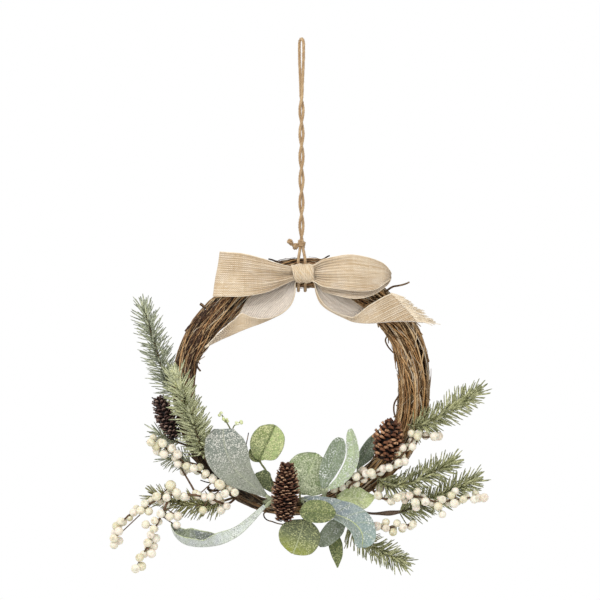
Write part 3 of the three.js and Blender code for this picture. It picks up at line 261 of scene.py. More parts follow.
class Look:
    """A material in the making. Its methods add nodes and give their outputs."""

    def __init__(self, name, roughness, specular=0.3, **sockets):
        self.material = bpy.data.materials.new(name)
        self.material.use_nodes = True
        self.nodes, self.links = self.material.node_tree.nodes, self.material.node_tree.links
        self.shader = self.nodes["Principled BSDF"]
        self.shader.inputs["Roughness"].default_value = roughness
        self.shader.inputs["Specular IOR Level"].default_value = specular
        for socket, value in sockets.items():
            self.shader.inputs[socket.replace("_", " ")].default_value = value

    def put(self, value, socket):
        """Feeds a socket with another node's output, a screen colour or a plain value."""
        if isinstance(value, bpy.types.NodeSocket):
            self.links.new(value, socket)
        else:
            socket.default_value = paint(*value) if socket.type == "RGBA" else value

    def node(self, kind, values, **settings):
        node = self.nodes.new("ShaderNode" + kind)
        for setting, value in settings.items():
            setattr(node, setting, value)
        for socket, value in values.items():
            self.put(value, node.inputs[socket])
        return node

    def attribute(self, name, output):
        return self.node("Attribute", {}, attribute_name=name).outputs[output]

    def tone(self):
        return self.attribute("tone", "Fac")

    def grain(self, stretch=(1, 1, 1)):
        """The surface's own run, in millimetres, divided by a size in each direction."""
        values = {0: self.attribute("grain", "Vector"), 1: stretch}
        return self.node("VectorMath", values, operation="DIVIDE").outputs[0]

    def place(self, size=1.0):
        """The place on the wreath, in units of a size in millimetres."""
        values = {0: self.node("TexCoord", {}).outputs["Object"], "Scale": 1000 / size}
        return self.node("VectorMath", values, operation="SCALE").outputs[0]

    def parts(self, vector):
        return self.node("SeparateXYZ", {0: vector}).outputs

    def noise(self, size, detail=2, roughness=0.5):
        """Noise of a size in millimetres: one number on the wreath, or three along the surface's own run."""
        vector = self.grain(size) if isinstance(size, tuple) else self.place(size)
        values = {"Vector": vector, "Scale": 1, "Detail": detail, "Roughness": roughness}
        return self.node("TexNoise", values).outputs["Fac"]

    def cells(self, size, feature="F1"):
        values = {"Vector": self.place(size), "Scale": 1}
        return self.node("TexVoronoi", values, feature=feature).outputs["Distance"]

    def math(self, operation, a, b=0.0):
        return self.node("Math", {0: a, 1: b}, operation=operation).outputs[0]

    def times(self, a, b):
        return self.math("MULTIPLY", a, b)

    def between(self, value, low, high, to_low=0.0, to_high=1.0):
        """A value carried from one span to another, and kept inside it."""
        values = {"Value": value, "From Min": low, "From Max": high, "To Min": to_low, "To Max": to_high}
        return self.node("MapRange", values).outputs["Result"]

    def mix(self, share, a, b):
        return self.node("Mix", {"Factor": share, 6: a, 7: b}, data_type="RGBA").outputs[2]

    def layers(self, base, *rows):
        """Colours laid over a base. Each row has a colour, a value that shows it, and the spans of that."""
        for colour, value, *spans in rows:
            base = self.mix(self.between(value, *spans), base, colour)
        return base

    def powder(self, grit, drifts, low, high):
        """Where frost lies: on the grit, and more of it in drifts."""
        return self.between(self.math("ADD", grit, self.times(drifts, DRIFT_SHARE)), low, high)

    def ramp(self, value, *stops):
        node = self.node("ValToRGB", {0: value})
        elements = node.color_ramp.elements
        while len(elements) < len(stops):
            elements.new(0.5)
        for element, (position, colour) in zip(elements, stops):
            element.position, element.color = position, paint(*colour)
        return node.outputs["Color"]

    def bump(self, height, distance, strength=1.0):
        """Raised by a height from 0 to 1 over a distance in millimetres."""
        normal = self.shader.inputs["Normal"]
        values = {"Height": height, "Distance": distance / 1000, "Strength": strength}
        if normal.is_linked:
            values["Normal"] = normal.links[0].from_socket
        self.links.new(self.node("Bump", values).outputs["Normal"], normal)

    def finish(self, colour, roughness=None):
        self.put(colour, self.shader.inputs["Base Color"])
        if roughness is not None:
            self.put(roughness, self.shader.inputs["Roughness"])
        return self.material


def bark_look():
    """Brown bark, golden on the wreath's right, reddish on its left and dark at its low left, with painted
    shade that darkens it towards its back.
    """
    look = Look("bark", roughness=0.78)
    own = look.ramp(
        look.tone(),
        (0.0, (30, 20, 14)), (0.25, (60, 40, 27)), (0.5, (142, 100, 64)), (0.75, (194, 150, 98)),
        (0.92, (230, 202, 158)), (1.0, (208, 202, 186)),
    )
    across, back, up = look.parts(look.place())
    streaks = look.noise((0.4, 0.4, 4.5), detail=4, roughness=0.65)
    patches = look.noise((1.4, 1.4, 5))
    lichen = look.noise(16)
    aged_and_shaded = look.layers(
        own,
        ((158, 114, 54), across, 20, 110, 0, 0.3),
        ((134, 78, 50), across, -60, -120, 0, 0.15),
        ((44, 29, 20), streaks, 0.34, 0.5, 0.55, 0),
        ((222, 190, 144), patches, 0.53, 0.66, 0, 0.5),
        ((120, 118, 94), lichen, 0.58, 0.75, 0, 0.4),
        # painted shade: darker towards the ring's back
        ((50, 40, 31), back, -11, 6, 0, 0.6),
    )
    low_left = look.times(look.between(across, -20, -60), look.between(up, -392, -415, 0, 0.72))
    look.bump(streaks, 0.4)
    return look.finish(look.mix(low_left, aged_and_shaded, (50, 40, 32)), look.between(patches, 0.3, 0.7, 0.7, 0.88))


def jute_look():
    look = Look("jute", roughness=0.92, specular=0.15, Sheen_Weight=0.25)
    fibres = look.noise((0.16, 0.16, 3), detail=3, roughness=0.6)
    patches = look.noise((2, 2, 9))
    own = look.ramp(fibres, (0.3, (104, 76, 50)), (0.5, (190, 158, 116)), (0.7, (236, 216, 178)))
    look.bump(fibres, 0.2)
    return look.finish(look.layers(own, ((152, 116, 80), patches, 0.4, 0.62, 0, 0.6)))


def hessian_look(name, light, deep):
    """Plain weave: threads of uneven thickness along and across the ribbon, with dark gaps between. The tone
    runs from tan, 0, to pale and sheer, 1."""
    look = Look(name, roughness=0.95, specular=0.1, Sheen_Weight=0.2, IOR=1.02)
    across, _, along = look.parts(look.grain())
    long_wave, cross_wave = (
        look.math("SINE", look.times(run, 2 * math.pi / THREAD_PITCH)) for run in (across, along)
    )
    weave = look.times(long_wave, cross_wave)
    long_uneven = look.noise((1.1, 1, 70), roughness=0.6)
    cross_uneven = look.noise((40, 1, 1.2), roughness=0.6)
    slubs = look.noise((1.0, 1, 4), detail=3, roughness=0.65)
    drifts = look.noise(17, detail=3, roughness=0.6)
    gaps = look.noise((0.8, 1, 20), roughness=0.7)
    strength = look.between(look.noise(24), 0.42, 0.6)
    thin_line = look.times(look.between(long_wave, -0.9, 0.3, 0.6, 0), strength)
    open_line = look.times(look.between(long_wave, -0.95, -0.3, 0.85, 0), look.between(slubs, 0.35, 0.6))
    pale = look.mix(look.tone(), light, (248, 241, 232))
    shade = look.mix(look.tone(), deep, (196, 180, 164))
    threads = look.layers(
        shade,
        (pale, long_uneven, 0.4, 0.6, 0.25, 1),
        (shade, cross_uneven, 0.45, 0.68, 0, 0.45),
        ((250, 238, 216), slubs, 0.52, 0.7, 0, 0.8),
        ((244, 234, 220), drifts, 0.5, 0.72, 0, 0.45),
    )
    dense = look.layers(
        look.mix(thin_line, threads, (140, 110, 76)),
        ((128, 100, 68), weave, -1, 0.6, 0.35, 0),
        ((104, 78, 50), gaps, 0.6, 0.7, 0, 0.6),
    )
    # the open weave's near-white colour is partly its own pale threads and partly painted light shining
    # through it
    drawn_and_lit_through = look.layers((255, 244, 230), ((212, 192, 170), long_uneven, 0.4, 0.5, 0.4, 0))
    sheer = look.mix(open_line, drawn_and_lit_through, (150, 132, 116))
    look.put(look.times(look.tone(), 0.35), look.shader.inputs["Transmission Weight"])
    look.bump(weave, 0.3)
    look.bump(long_uneven, 0.6)
    return look.finish(look.mix(look.times(look.tone(), 0.85), dense, sheer))


def cone_look(name, deep, middle, tip):
    """Scales darken towards the core, partly their own darker roots and partly painted shade between the
    scales, and their light tips are partly their own colour and partly painted highlight. The tone runs from
    a scale's root, 0, to its tip, 1.
    """
    look = Look(name, roughness=0.6)
    own = look.ramp(look.tone(), (0.5, deep), (0.82, middle), (1.0, tip))
    mottle = look.noise(2.2, detail=4, roughness=0.65)
    fibres = look.noise((0.35, 0.35, 3), detail=3)
    look.bump(fibres, 0.3)
    streaked = look.layers(own, (deep, fibres, 0.35, 0.6, 0.7, 0))
    return look.finish(streaked, look.between(mottle, 0.3, 0.7, 0.5, 0.75))


WHITE_FROST = (240, 243, 238)
YELLOW_FROST = (226, 228, 168)
FROST_REACH = 0.3  # how much full frosting lowers the grit's threshold
RIB_CORE = 0.35  # the part of the rib's width that has its full colour
VEIN_SLANT = 0.8


def leaf_look(
    name, own, rib, edge, frost=WHITE_FROST, other=None, end=None, *, vein_size, frosting, shown,
    rib_width=0.9, dusted=(-1, 0),
):
    """A leaf may have another colour on its other half, and one at its end. Its grain is across it in
    millimetres, across it as a share of its half-width, and along it. Its tone runs from its base to its tip,
    and the dust of frost thickens over the dusted part of that."""
    look = Look(name, roughness=0.75, specular=0.25, Sheen_Weight=0.15)
    across, share, along = look.parts(look.grain())
    off = look.math("ABSOLUTE", across)
    slant = look.math("SUBTRACT", along, look.times(off, VEIN_SLANT))
    vein = look.between(look.math("SINE", look.times(slant, 2 * math.pi / vein_size)), 0.8, 1.0)
    mottle = look.noise(9, detail=3, roughness=0.6)
    grit = look.noise(1.0, detail=3, roughness=0.7)
    drifts = look.noise(8, detail=4, roughness=0.65)
    crumbs = look.between(look.cells(1.6), 0.5, 0.3)
    thick = FROST_REACH * frosting
    rib_span = (rib_width, RIB_CORE * rib_width)
    powder = look.powder(grit, drifts, 1.0 - thick, 1.1 - thick)
    drifted = look.between(drifts, 0.56 - thick, 0.7 - thick, 0.25, 1)
    spread = look.between(look.tone(), *dusted, 0.3, 1)
    halves = own if other is None else look.layers(other, (own, share, -0.12, 0.12))
    whole = halves if end is None else look.layers(halves, (end, look.tone(), 0.45, 1.0))
    toned = look.layers(whole, (edge, mottle, 0.35, 0.7, 0.0, 0.4))
    pitted = look.layers(
        look.mix(look.times(vein, shown), toned, rib),
        (rib, off, *rib_span),
        (edge, look.math("ABSOLUTE", share), 0.93, 1.0),
        ((78, 86, 74), grit, 0.44, 0.36, 0, 0.55),
    )
    hazed = look.mix(look.times(powder, look.times(spread, 0.7)), pitted, frost)
    frosted = look.mix(look.times(look.times(look.times(crumbs, drifted), spread), 0.9), hazed, frost)
    look.bump(vein, 0.25)
    look.bump(grit, 0.3)
    look.bump(powder, 0.3)
    return look.finish(look.layers(frosted, (rib, off, *rib_span, 0, 0.55)))


def berry_look():
    look = Look("berry", roughness=0.5, specular=0.4, Subsurface_Weight=0.1, Subsurface_Scale=0.002)
    crackle = look.cells(1.8, "DISTANCE_TO_EDGE")
    grit = look.noise(0.9, detail=3, roughness=0.7)
    patches = look.noise(4)
    own = look.ramp(
        look.tone(),
        (0.0, (210, 203, 160)), (0.3, (233, 224, 196)), (0.7, (240, 233, 217)), (1.0, (232, 216, 196)),
    )
    look.bump(crackle, 0.2, 0.5)
    look.bump(grit, 0.25)
    return look.finish(look.layers(
        own,
        ((208, 200, 158), patches, 0.5, 0.7, 0, 0.45),
        ((164, 150, 116), crackle, 0.0, 0.12, 0.4, 0),
        ((250, 248, 240), grit, 0.5, 0.62, 0, 0.75),
        ((128, 110, 78), look.parts(look.grain())[2], 0.86, 0.93, 0, 0.5),
    ))


def stem_look(name, deep, light):
    look = Look(name, roughness=0.7)
    streaks = look.noise((0.4, 0.4, 5), detail=3)
    look.bump(streaks, 0.2)
    return look.finish(look.layers(deep, (light, streaks, 0.35, 0.65)))


def fir_look(name, deep, middle, frost, frosting=0.5):
    """A needle's tone is its own, and its grain runs along it from 0 to 1."""
    look = Look(name, roughness=0.7)
    along = look.parts(look.grain())[2]
    drifts = look.noise(8, detail=3, roughness=0.6)
    grit = look.noise(1.3, detail=3, roughness=0.7)
    thick = FROST_REACH * frosting
    powder = look.powder(grit, drifts, 0.94 - thick, 1.06 - thick)
    tipped = look.layers(look.mix(look.tone(), deep, middle), (deep, along, 0.55, 1.0, 0, 0.6))
    yellowed = look.layers(frost, ((220, 220, 160), drifts, 0.5, 0.68, 0, 0.6))
    look.bump(grit, 0.2)
    return look.finish(look.mix(look.times(powder, look.between(along, 0.6, 1.0, 1, 0.25)), tipped, yellowed))


# The jute cord: one long loop, and two turns round the ring with a knot

CORD_X = -HANG_SIDE
CORD_RADIUS = 1.35
CORD_FOOT = 146.7
CORD_TOP = HANG_DROP + CORD_RADIUS
TWIST_TOP = 292
PART_HEIGHT = CORD_TOP - 12  # where the strands are fully apart
STRAND_OFFSET = 1.75
TWIST_PITCH = 46
LOOP_OFFSET = 5.2
LOOP_TURN = math.radians(66)
LOOP_SHOULDER = CORD_TOP - LOOP_OFFSET
STRAND_STEPS = 40
CROWN_STEPS = 6


def strand_at(height, hand):
    """Where a strand lies at a height: twisted round the other below, and beside it above."""
    turn = 2 * math.pi * (TWIST_TOP - height) / TWIST_PITCH
    part = eased(height, TWIST_TOP, PART_HEIGHT)
    reach = hand * (STRAND_OFFSET + (LOOP_OFFSET - STRAND_OFFSET) * part)
    angle = LOOP_TURN + (turn if height < TWIST_TOP else 0)
    return [CORD_X + reach * math.cos(angle), height, reach * math.sin(angle)]


def cord_line():
    """One strand up, over the crown and down as the other."""
    heights = [CORD_FOOT + (LOOP_SHOULDER - CORD_FOOT) * k / STRAND_STEPS for k in range(STRAND_STEPS + 1)]
    line = [strand_at(height, 1) for height in heights]
    for k in range(1, CROWN_STEPS):
        turn = math.pi * k / CROWN_STEPS
        out = LOOP_OFFSET * math.cos(turn)
        up = LOOP_SHOULDER + LOOP_OFFSET * math.sin(turn)
        line.append([CORD_X + out * math.cos(LOOP_TURN), up, out * math.sin(LOOP_TURN)])
    return np.array(line + [strand_at(height, -1) for height in reversed(heights)])


PLIES = 3
PLY_OFFSET, PLY_GIRTH = 0.56, 0.62  # shares of the cord's radius
LAY_LENGTH = 8.0
LAY_STEP = 0.9
HAIRS_PER_MM = 1.6
HAIR_RADII = [0.07, 0.06, 0.03]


def laid_cord(shape, path, rng):
    """Three plies twisted together along a path, with loose hairs."""
    path = smooth(path, LAY_STEP)
    along, side, across = frames(path)
    far = distances(path)
    for ply in range(PLIES):
        turn = (2 * np.pi * (far / LAY_LENGTH + ply / PLIES))[:, None]
        centre = path + PLY_OFFSET * CORD_RADIUS * around(side, across, turn)
        girth = PLY_GIRTH * CORD_RADIUS * (1 + 0.1 * sway(rng, far / far[-1], 23))
        tube(shape, centre, girth, 6, 0.5, shift=7 * rng.random())
    for _ in range(int(HAIRS_PER_MM * far[-1])):
        k = rng.integers(1, len(path) - 1)
        out = around(side[k], across[k], rng.uniform(0, 2 * np.pi))
        lean = along[k] * rng.uniform(-1.5, 1.5) + np.cross(along[k], out) * rng.uniform(-1, 1)
        root = path[k] + 0.8 * CORD_RADIUS * out
        reach = rng.uniform(0.4, 1.1)
        hair = np.array([root, root + reach * (0.7 * out + 0.5 * lean), root + reach * (out + 1.4 * lean)])
        tube(shape, hair, HAIR_RADII, 3, 0.7, shift=9 * rng.random())


jute = jute_look()
cord_path = cord_line()
cord_shape = Shape()
laid_cord(cord_shape, cord_path, np.random.default_rng(3))
cord = piece_of(cord_shape, "jute_loop", [jute], "jute", "hanging_cord")

RING_TOP = 115.5
TURN_REACH = 18.15
KNOT_HEIGHT = 142
# The turns round the ring: where each lies along x, below and at the knot
CORD_TURNS = [(-4.6, -2.6), (2.2, -0.4)]
# The knot's coils: the middle, the axis, the radius, how many turns and how far they climb
KNOT_COILS = [
    ([-1.5, 144.2, 0], (0.16, 1, 0), 2.7, 2.8, 6),
    ([-7.6, 141.6, 2], (1, 0.1, 0.2), 2.0, 1.6, 3.2),
    ([-12.6, 146, 3], (0.6, 1, 0.1), 2.1, 1.8, 3.6),
]
TURN_STEPS, COIL_STEPS = 22, 14  # in one turn
SHORT_END = [[-1, 144, 0], [-5, 142, 1.4], [-9, 142, 2], [-13, 146.4, 3]]


def cord_turn(x, top_x):
    """A turn of cord round the ring, from the knot above it and back."""
    open_angle = math.acos(TURN_REACH / (KNOT_HEIGHT - RING_TOP))
    angles = np.linspace(open_angle, 2 * math.pi - open_angle, TURN_STEPS)
    circle = stacked(x, RING_TOP + TURN_REACH * np.cos(angles), TURN_REACH * np.sin(angles))
    apex = np.array([[top_x, KNOT_HEIGHT, 0]])
    return np.concatenate([apex, circle, apex])


def cord_coil(middle, axis, reach, turns, rise):
    """A tight coil of cord round an axis."""
    axis = unit(np.array(axis, float))
    side = unit(np.cross(axis, OFF_COIL))
    angles = np.linspace(0, 2 * np.pi * turns, int(COIL_STEPS * turns) + 1)[:, None]
    climb = rise * (angles / angles[-1] - 0.5)
    return middle + reach * around(side, np.cross(axis, side), angles) + axis * climb


rng = np.random.default_rng(4)
wrap_shape = Shape()
for x, top_x in CORD_TURNS:
    laid_cord(wrap_shape, cord_turn(x, top_x), rng)
for coil in KNOT_COILS:
    laid_cord(wrap_shape, cord_coil(*coil), rng)
laid_cord(wrap_shape, SHORT_END, rng)
cord_knot = piece_of(wrap_shape, "jute_knot", [jute], "jute", "cord_wrap")

# The bow

KNOT = np.array([1.5, 114.5, 28.7])
KNOT_HALF = 8.8
GATHER_UP, GATHER_OUT = 7.8, 5.8
RIBBON_HALF = 22
THREAD_PITCH = 2.1
RIBBON_STEP = 1.5
RIBBON_COLUMNS = 61
RIBBON_THICKNESS = 0.6
HEM_RADIUS = 0.42
# The loops' back layers get a paler, sheerer tone: painted light that lifts them out of the front layers'
# shade
LOOP_BACK_PAINTED_LIGHT = 0.15
GATHER_PLEATS = 11
FRAY_RADII, FRAY_STEPS = (0.55, 0.3), 8
ROLL_SOFTENING = 4  # how often a roll is smoothed

# Each rib across the ribbon: its middle, with its depth measured from the knot's, its half-width vector, and
# the height of its pleats
LEFT_LOOP = [
    [1, 114.5, 2.4, 0, 6, 0, 0.9],
    [-8, 114.4, 3.2, 0, 6.4, 0.2, 1],
    [-19, 112.8, 7, 0, 9.8, 1, 1.6],
    [-39, 112.4, 10.5, -1.6, 16.8, 1, 1.1],
    [-60, 113, 9.5, 0.4, 21, 0, 0.5],
    [-77, 113.6, 6.2, 2.6, 21.8, 0, 0.2],
    [-85.6, 114, 1.8, 3.4, 22, 0, 0],
    [-85.8, 114, -2.8, 3.4, 22, 0, 0],
    [-77, 113.4, -6.6, 2.6, 21.4, 0, 0],
    [-58, 112.4, -8.2, 0, 20.6, 0, 0.3],
    [-36, 112.6, -7, 0, 15, 0, 0.8],
    [-18, 113.4, -4.4, 0, 9, 0, 1],
    [-8, 114.4, -3, 0, 6.4, 0, 0.9],
    [1, 114.5, -2, 0, 6, 0, 0.9],
]
RIGHT_LOOP = [
    [2, 114.5, 2.4, 0, 6, 0, 0.9],
    [11, 114.8, 3.2, 0, 8.2, 0.2, 1.1],
    [20, 115.2, 7.4, 0.4, 13, 1, 1.6],
    [34, 115.4, 12, -0.6, 16, 1.5, 1.1],
    [48, 115.2, 14, -0.8, 17.8, 0, 0.6],
    [62, 114, 12.6, -0.4, 17, -2, 0.3],
    [72, 113.4, 9.6, 0, 14.6, -4, 0.2],
    [80, 113.6, 6, 0.4, 10.4, -4, 0],
    [85.4, 112.8, 2.2, 0.4, 5.6, -2.4, 0],
    [87.8, 111.6, -1.4, 0.2, 2.8, -1, 0],
    [85.4, 110, -4, 0.2, 5.8, -1, 0],
    [80, 109.4, -4, 0, 9.8, -4, 0],
    [70, 107.6, -2.8, 0, 14.2, -8.6, 0],
    [57, 107.2, -2.2, 0, 17.2, -12, 0.3],
    [46, 107.4, -2.2, 0, 17, -12, 0.5],
    [34, 108.4, -3.4, 0, 15.4, -8, 0.8],
    [19, 110, -4.4, 0, 12.6, 0, 1],
    [11, 113.6, -3, 0, 7, 0, 0.9],
    [2, 114.5, -2, 0, 6, 0, 0.9],
]

# The tails are rolled over along their lower sides. Each rib: one edge of the ribbon, the roll, the other
# edge, the share of the ribbon's width behind the roll, and the height of its pleats.
LEFT_TAIL = [
    [0, 117.5, -1, 0, 107.6, -1, 0, 107.5, -0.6, 0.99, 0.6],
    [-10, 113.4, -4.4, -7, 106, -1.6, -7.2, 106, -1, 0.99, 0.8],
    [-25, 106, -9, -7.6, 96, -1, -8, 96, -0.4, 0.98, 0.8],
    [-40, 98.6, -12, -11.4, 84, 1.6, -11.8, 84.2, 2.2, 0.97, 0.6],
    [-49, 94, -12, -19.6, 75.4, 3, -20, 75.8, 3.8, 0.93, 0.5],
    [-53.5, 90.5, -11, -30.6, 69.4, 4.4, -31.6, 70.4, 5.8, 0.82, 0.4],
    [-57, 86, -9, -41, 64.6, 5, -43, 69.4, 6.8, 0.66, 0.3],
    [-59.6, 81, -7, -51, 60.8, 5, -53, 71.4, 6.8, 0.48, 0.2],
    [-63, 74.6, -5.6, -61, 56.8, 4.4, -60.6, 74.6, 5.8, 0.3, 0.1],
    [-69, 67, -4.6, -71, 52.5, 3.4, -67.4, 69.2, 3.8, 0.2, 0],
    [-78, 57.8, -5, -80.4, 48.6, 1.6, -76.4, 61.6, 1.2, 0.15, 0],
    [-86.6, 50.4, -6, -88, 45, -1, -86, 53, -1.8, 0.12, 0],
    [-93.6, 43.6, -7, -94.2, 42.2, -4.6, -94.2, 44.4, -4.2, 0.1, 0],
]
RIGHT_TAIL = [
    [3, 117, -2, 3, 109, -1.5, 3, 108, -1, 0.97, 0.6],
    [12, 112, -4, 10.2, 105.6, -3.4, 10.6, 106, -2.6, 0.95, 0.8],
    [22, 106, -6, 12.6, 95.5, -4, 13.8, 96.3, -2.4, 0.94, 0.8],
    [33, 99, -7.5, 16.2, 86, -4.6, 18.6, 87, -2.4, 0.92, 0.7],
    [42, 92.5, -8.5, 22.6, 79.4, -4.6, 25.4, 80, -2, 0.9, 0.6],
    [49.5, 87.4, -9, 31.5, 74.2, -4.4, 34, 75, -1, 0.87, 0.5],
    [57, 82, -9.4, 41.2, 69.6, -4, 42.6, 72.2, 0, 0.82, 0.4],
    [65, 77, -9.6, 49, 66.2, -3.4, 50, 70.8, 1.2, 0.74, 0.3],
    [74, 73, -9.6, 58, 64.6, -3, 57.4, 75.6, 2.6, 0.65, 0.2],
    [84, 70, -9, 68, 64.4, -2.6, 64.6, 81.6, 4, 0.55, 0.1],
    [93, 68, -8, 79, 65.4, -2.4, 72, 86.2, 4.6, 0.45, 0],
    [103, 66.8, -6.4, 92, 66.4, -2.4, 79.6, 90.6, 4.4, 0.33, 0],
    [112, 66.2, -4.4, 106, 66.4, -2.4, 85.4, 93.2, 3.4, 0.18, 0],
    [119.4, 65.4, -2.4, 118.4, 65.8, -1.8, 89.6, 94.6, 1.6, 0.03, 0],
]


def hem(threads, grid, radius, tone, start=0.0):
    """A thicker thread along each edge of a strip."""
    for edge in (0, -1):
        tube(threads, grid[:, edge], radius, 5, tone, shift=start)


def ribbon_strip(shape, threads, ribs, rng, start):
    """A strip of ribbon through its ribs, pleated where it is gathered."""
    rows = smooth(np.array(ribs) + [0, 0, KNOT[2], 0, 0, 0, 0], RIBBON_STEP)
    middle, half, pleat = rows[:, None, :3], rows[:, None, 3:6], rows[:, 6:]
    out = unit(np.cross(np.gradient(middle, axis=0), half))
    q = np.linspace(-1, 1, RIBBON_COLUMNS)
    far = distances(rows)[:, None]
    drift = sway(rng, far / far[-1], 2)
    broad = pleat * np.cos(2 * np.pi * q)
    fine = 0.5 * pleat * np.cos(2 * np.pi * (5.3 * q + 0.3 * drift) + 1.1)
    crumple = 0.35 * np.sin(0.19 * far + 3.1 * q + 2 * drift) * (1 - q**2)
    grid = middle + half * q[:, None] + out * (broad + fine + crumple)[..., None]
    # painted light: the loops' back layers are paler and sheerer than their own colour
    behind = LOOP_BACK_PAINTED_LIGHT * (rows[:, 2:3] < KNOT[2])
    slab(shape, grid, RIBBON_THICKNESS, behind, stacked(q * RIBBON_HALF, 0, far + start))
    hem(threads, grid, HEM_RADIUS, 0.8, start)
    return far[-1, 0]


def rolled_strip(shape, threads, ribs, start, behind_tone):
    """A strip of ribbon, rolled over along one side. The part behind the roll has a tone of its own."""
    ribs = np.array(ribs, float)
    ribs[:, [2, 5, 8]] += KNOT[2]
    centre = (ribs[:, :3] + ribs[:, 3:6] + ribs[:, 6:9]) / 3
    rows = smooth(np.concatenate([centre, ribs], 1), RIBBON_STEP)
    far = distances(rows)[:, None]
    one, roll, other = (rows[:, None, c:c + 3] for c in (3, 6, 9))
    split, pleat = rows[:, 12:13], rows[:, 13:]
    t = np.linspace(0, 1, RIBBON_COLUMNS // 2 + 1)
    behind = one + (roll - one) * t[:, None]
    before = roll + (other - roll) * t[1:, None]
    behind[..., 2] += 1.6 * pleat * np.sin(2 * np.pi * (4.6 * t + 0.01 * far)) * np.sin(np.pi * t) ** 0.5
    grid = np.concatenate([behind, before], 1)
    for _ in range(ROLL_SOFTENING):
        grid[:, 1:-1] = (grid[:, :-2] + 2 * grid[:, 1:-1] + grid[:, 2:]) / 4
    share = np.concatenate([split * t, split + (1 - split) * t[1:]], 1)
    tone = behind_tone * (np.arange(grid.shape[1]) < len(t))
    slab(shape, grid, RIBBON_THICKNESS, tone, stacked((2 * share - 1) * RIBBON_HALF, 0, far + start))
    hem(threads, grid, HEM_RADIUS, 0.9, start)
    return grid, far[-1, 0]


def frayed_end(threads, places, headings, reaches, rng):
    """Loose threads that go on past a strip's cut end."""
    headings = np.broadcast_to(headings, np.shape(places))
    radii = np.linspace(*FRAY_RADII, FRAY_STEPS)
    for place, heading, reach in zip(places, headings, np.broadcast_to(reaches, len(places))):
        length = reach * rng.uniform(0.72, 1)
        drift = heading + rng.normal(0, 0.05, 3)
        shares = np.linspace(-0.3, 1, FRAY_STEPS)[:, None]
        curl = rng.normal(0, 0.06, 3) + [0, -0.05, 0]
        thread = place + length * (shares * drift + np.clip(shares, 0, 1) ** 2 * curl)
        tube(threads, thread, radii, 4, rng.uniform(0.3, 1), shift=20 * rng.random())


def gathered_middle(shape):
    """The pleated ribbon inside the knot."""
    turn = np.linspace(0, 2 * np.pi, 73)[:-1]
    share = np.linspace(-1, 1, 12)[:, None]
    swell = (1 - 0.3 * np.abs(share) ** 4) * (1 + 0.09 * np.cos(GATHER_PLEATS * turn + 2 * share))
    rings = stacked(
        KNOT[0] + share * KNOT_HALF,
        KNOT[1] + GATHER_UP * swell * np.cos(turn),
        KNOT[2] + GATHER_OUT * swell * np.sin(turn),
    )
    grain = stacked(turn * GATHER_UP, 0, share * KNOT_HALF)
    shape.add(rings, closed_faces(len(share), len(turn)), 0.3, grain)


bow_shape, thread_shape = Shape(), Shape()
rng = np.random.default_rng(5)
ribbon_length = 0
for ribs in (LEFT_LOOP, RIGHT_LOOP):
    ribbon_length += ribbon_strip(bow_shape, thread_shape, ribs, rng, ribbon_length)
left_grid, length = rolled_strip(bow_shape, thread_shape, LEFT_TAIL, ribbon_length, behind_tone=1.0)
ribbon_length += length
ribbon_length += rolled_strip(bow_shape, thread_shape, RIGHT_TAIL, ribbon_length, behind_tone=0.8)[1]
gathered_middle(bow_shape)

# The right tail's cut end, from its low corner to its high one, and how far its threads go on past each
CUT_LOW, CUT_HIGH = np.array([118.6, 66.2, 27.2]), np.array([90.4, 94.2, 30.6])
FRINGE_LOW, FRINGE_HIGH = 17, 11
FRINGE_THREADS = 96
LEFT_FRINGE, LEFT_FRINGE_HEADING = 5, [-0.8, -0.5, -0.2]

share = np.linspace(0, 1, FRINGE_THREADS)[:, None]
cut_places = CUT_LOW + (CUT_HIGH - CUT_LOW) * share + rng.normal(0, 0.3, (FRINGE_THREADS, 3))
cut_headings = np.concatenate([0.98 + 0 * share, -0.08 - 0.24 * share, -0.1 + 0.1 * share], 1)
cut_reaches = FRINGE_LOW - (FRINGE_LOW - FRINGE_HIGH) * share[:, 0]
frayed_end(thread_shape, cut_places, cut_headings, cut_reaches, rng)
frayed_end(thread_shape, left_grid[-1, ::8], LEFT_FRINGE_HEADING, LEFT_FRINGE, rng)

hessian = hessian_look("hessian", (240, 222, 194), (206, 176, 136))
thread_look = stem_look("hessian_thread", (212, 192, 160), (246, 234, 214))
bow = piece_of(bow_shape, "hessian_bow", [hessian], "hessian", "bow_ribbon")
bow_threads = piece_of(thread_shape, "hessian_threads", [thread_look], "hessian")

BAND_INNER = 1.8
BAND_MIDDLE = 0.6  # the band's middle along x, and half its length
BAND_HALF = 10.2
BAND_THICKNESS = 0.7
BAND_HEM_RADIUS = 0.4


def knot_band(shape, threads):
    """The band round the gathered middle, drawn in at its waist, with soft slanting folds."""
    turn = np.linspace(0, 2 * np.pi, 97)[:, None]
    x = np.linspace(-1, 1, 33)
    slant = 0.34 * np.cos(turn - 0.4)
    fold = 0.42 * np.cos(2 * np.pi * (1.15 * x + slant)) + 0.16 * np.cos(2 * np.pi * (2.7 * x - 1.3 * slant))
    lift = BAND_INNER + 0.5 + fold - 1.1 * np.abs(x) ** 3
    grid = stacked(
        BAND_MIDDLE + BAND_HALF * x - 1.9 * np.cos(turn) * (1 - x) / 2,
        KNOT[1] + (GATHER_UP - 0.9 + lift) * np.cos(turn),
        KNOT[2] + (GATHER_OUT + lift) * np.sin(turn),
    )
    grain = stacked(BAND_HALF * x + 6 * np.cos(turn - 0.4), 0, (GATHER_UP + GATHER_OUT) / 2 * turn)
    slab(shape, grid, BAND_THICKNESS, 0.0, grain)
    hem(threads, grid, BAND_HEM_RADIUS, 0.9)


band_shape, band_threads = Shape(), Shape()
knot_band(band_shape, band_threads)
band_hessian = hessian_look("hessian_band", (242, 224, 194), (208, 178, 136))
band = piece_of(band_shape, "hessian_knot_band", [band_hessian], "hessian", "bow_knot_band")
band_edges = piece_of(band_threads, "hessian_band_threads", [thread_look], "hessian")

# The ring of wound twigs

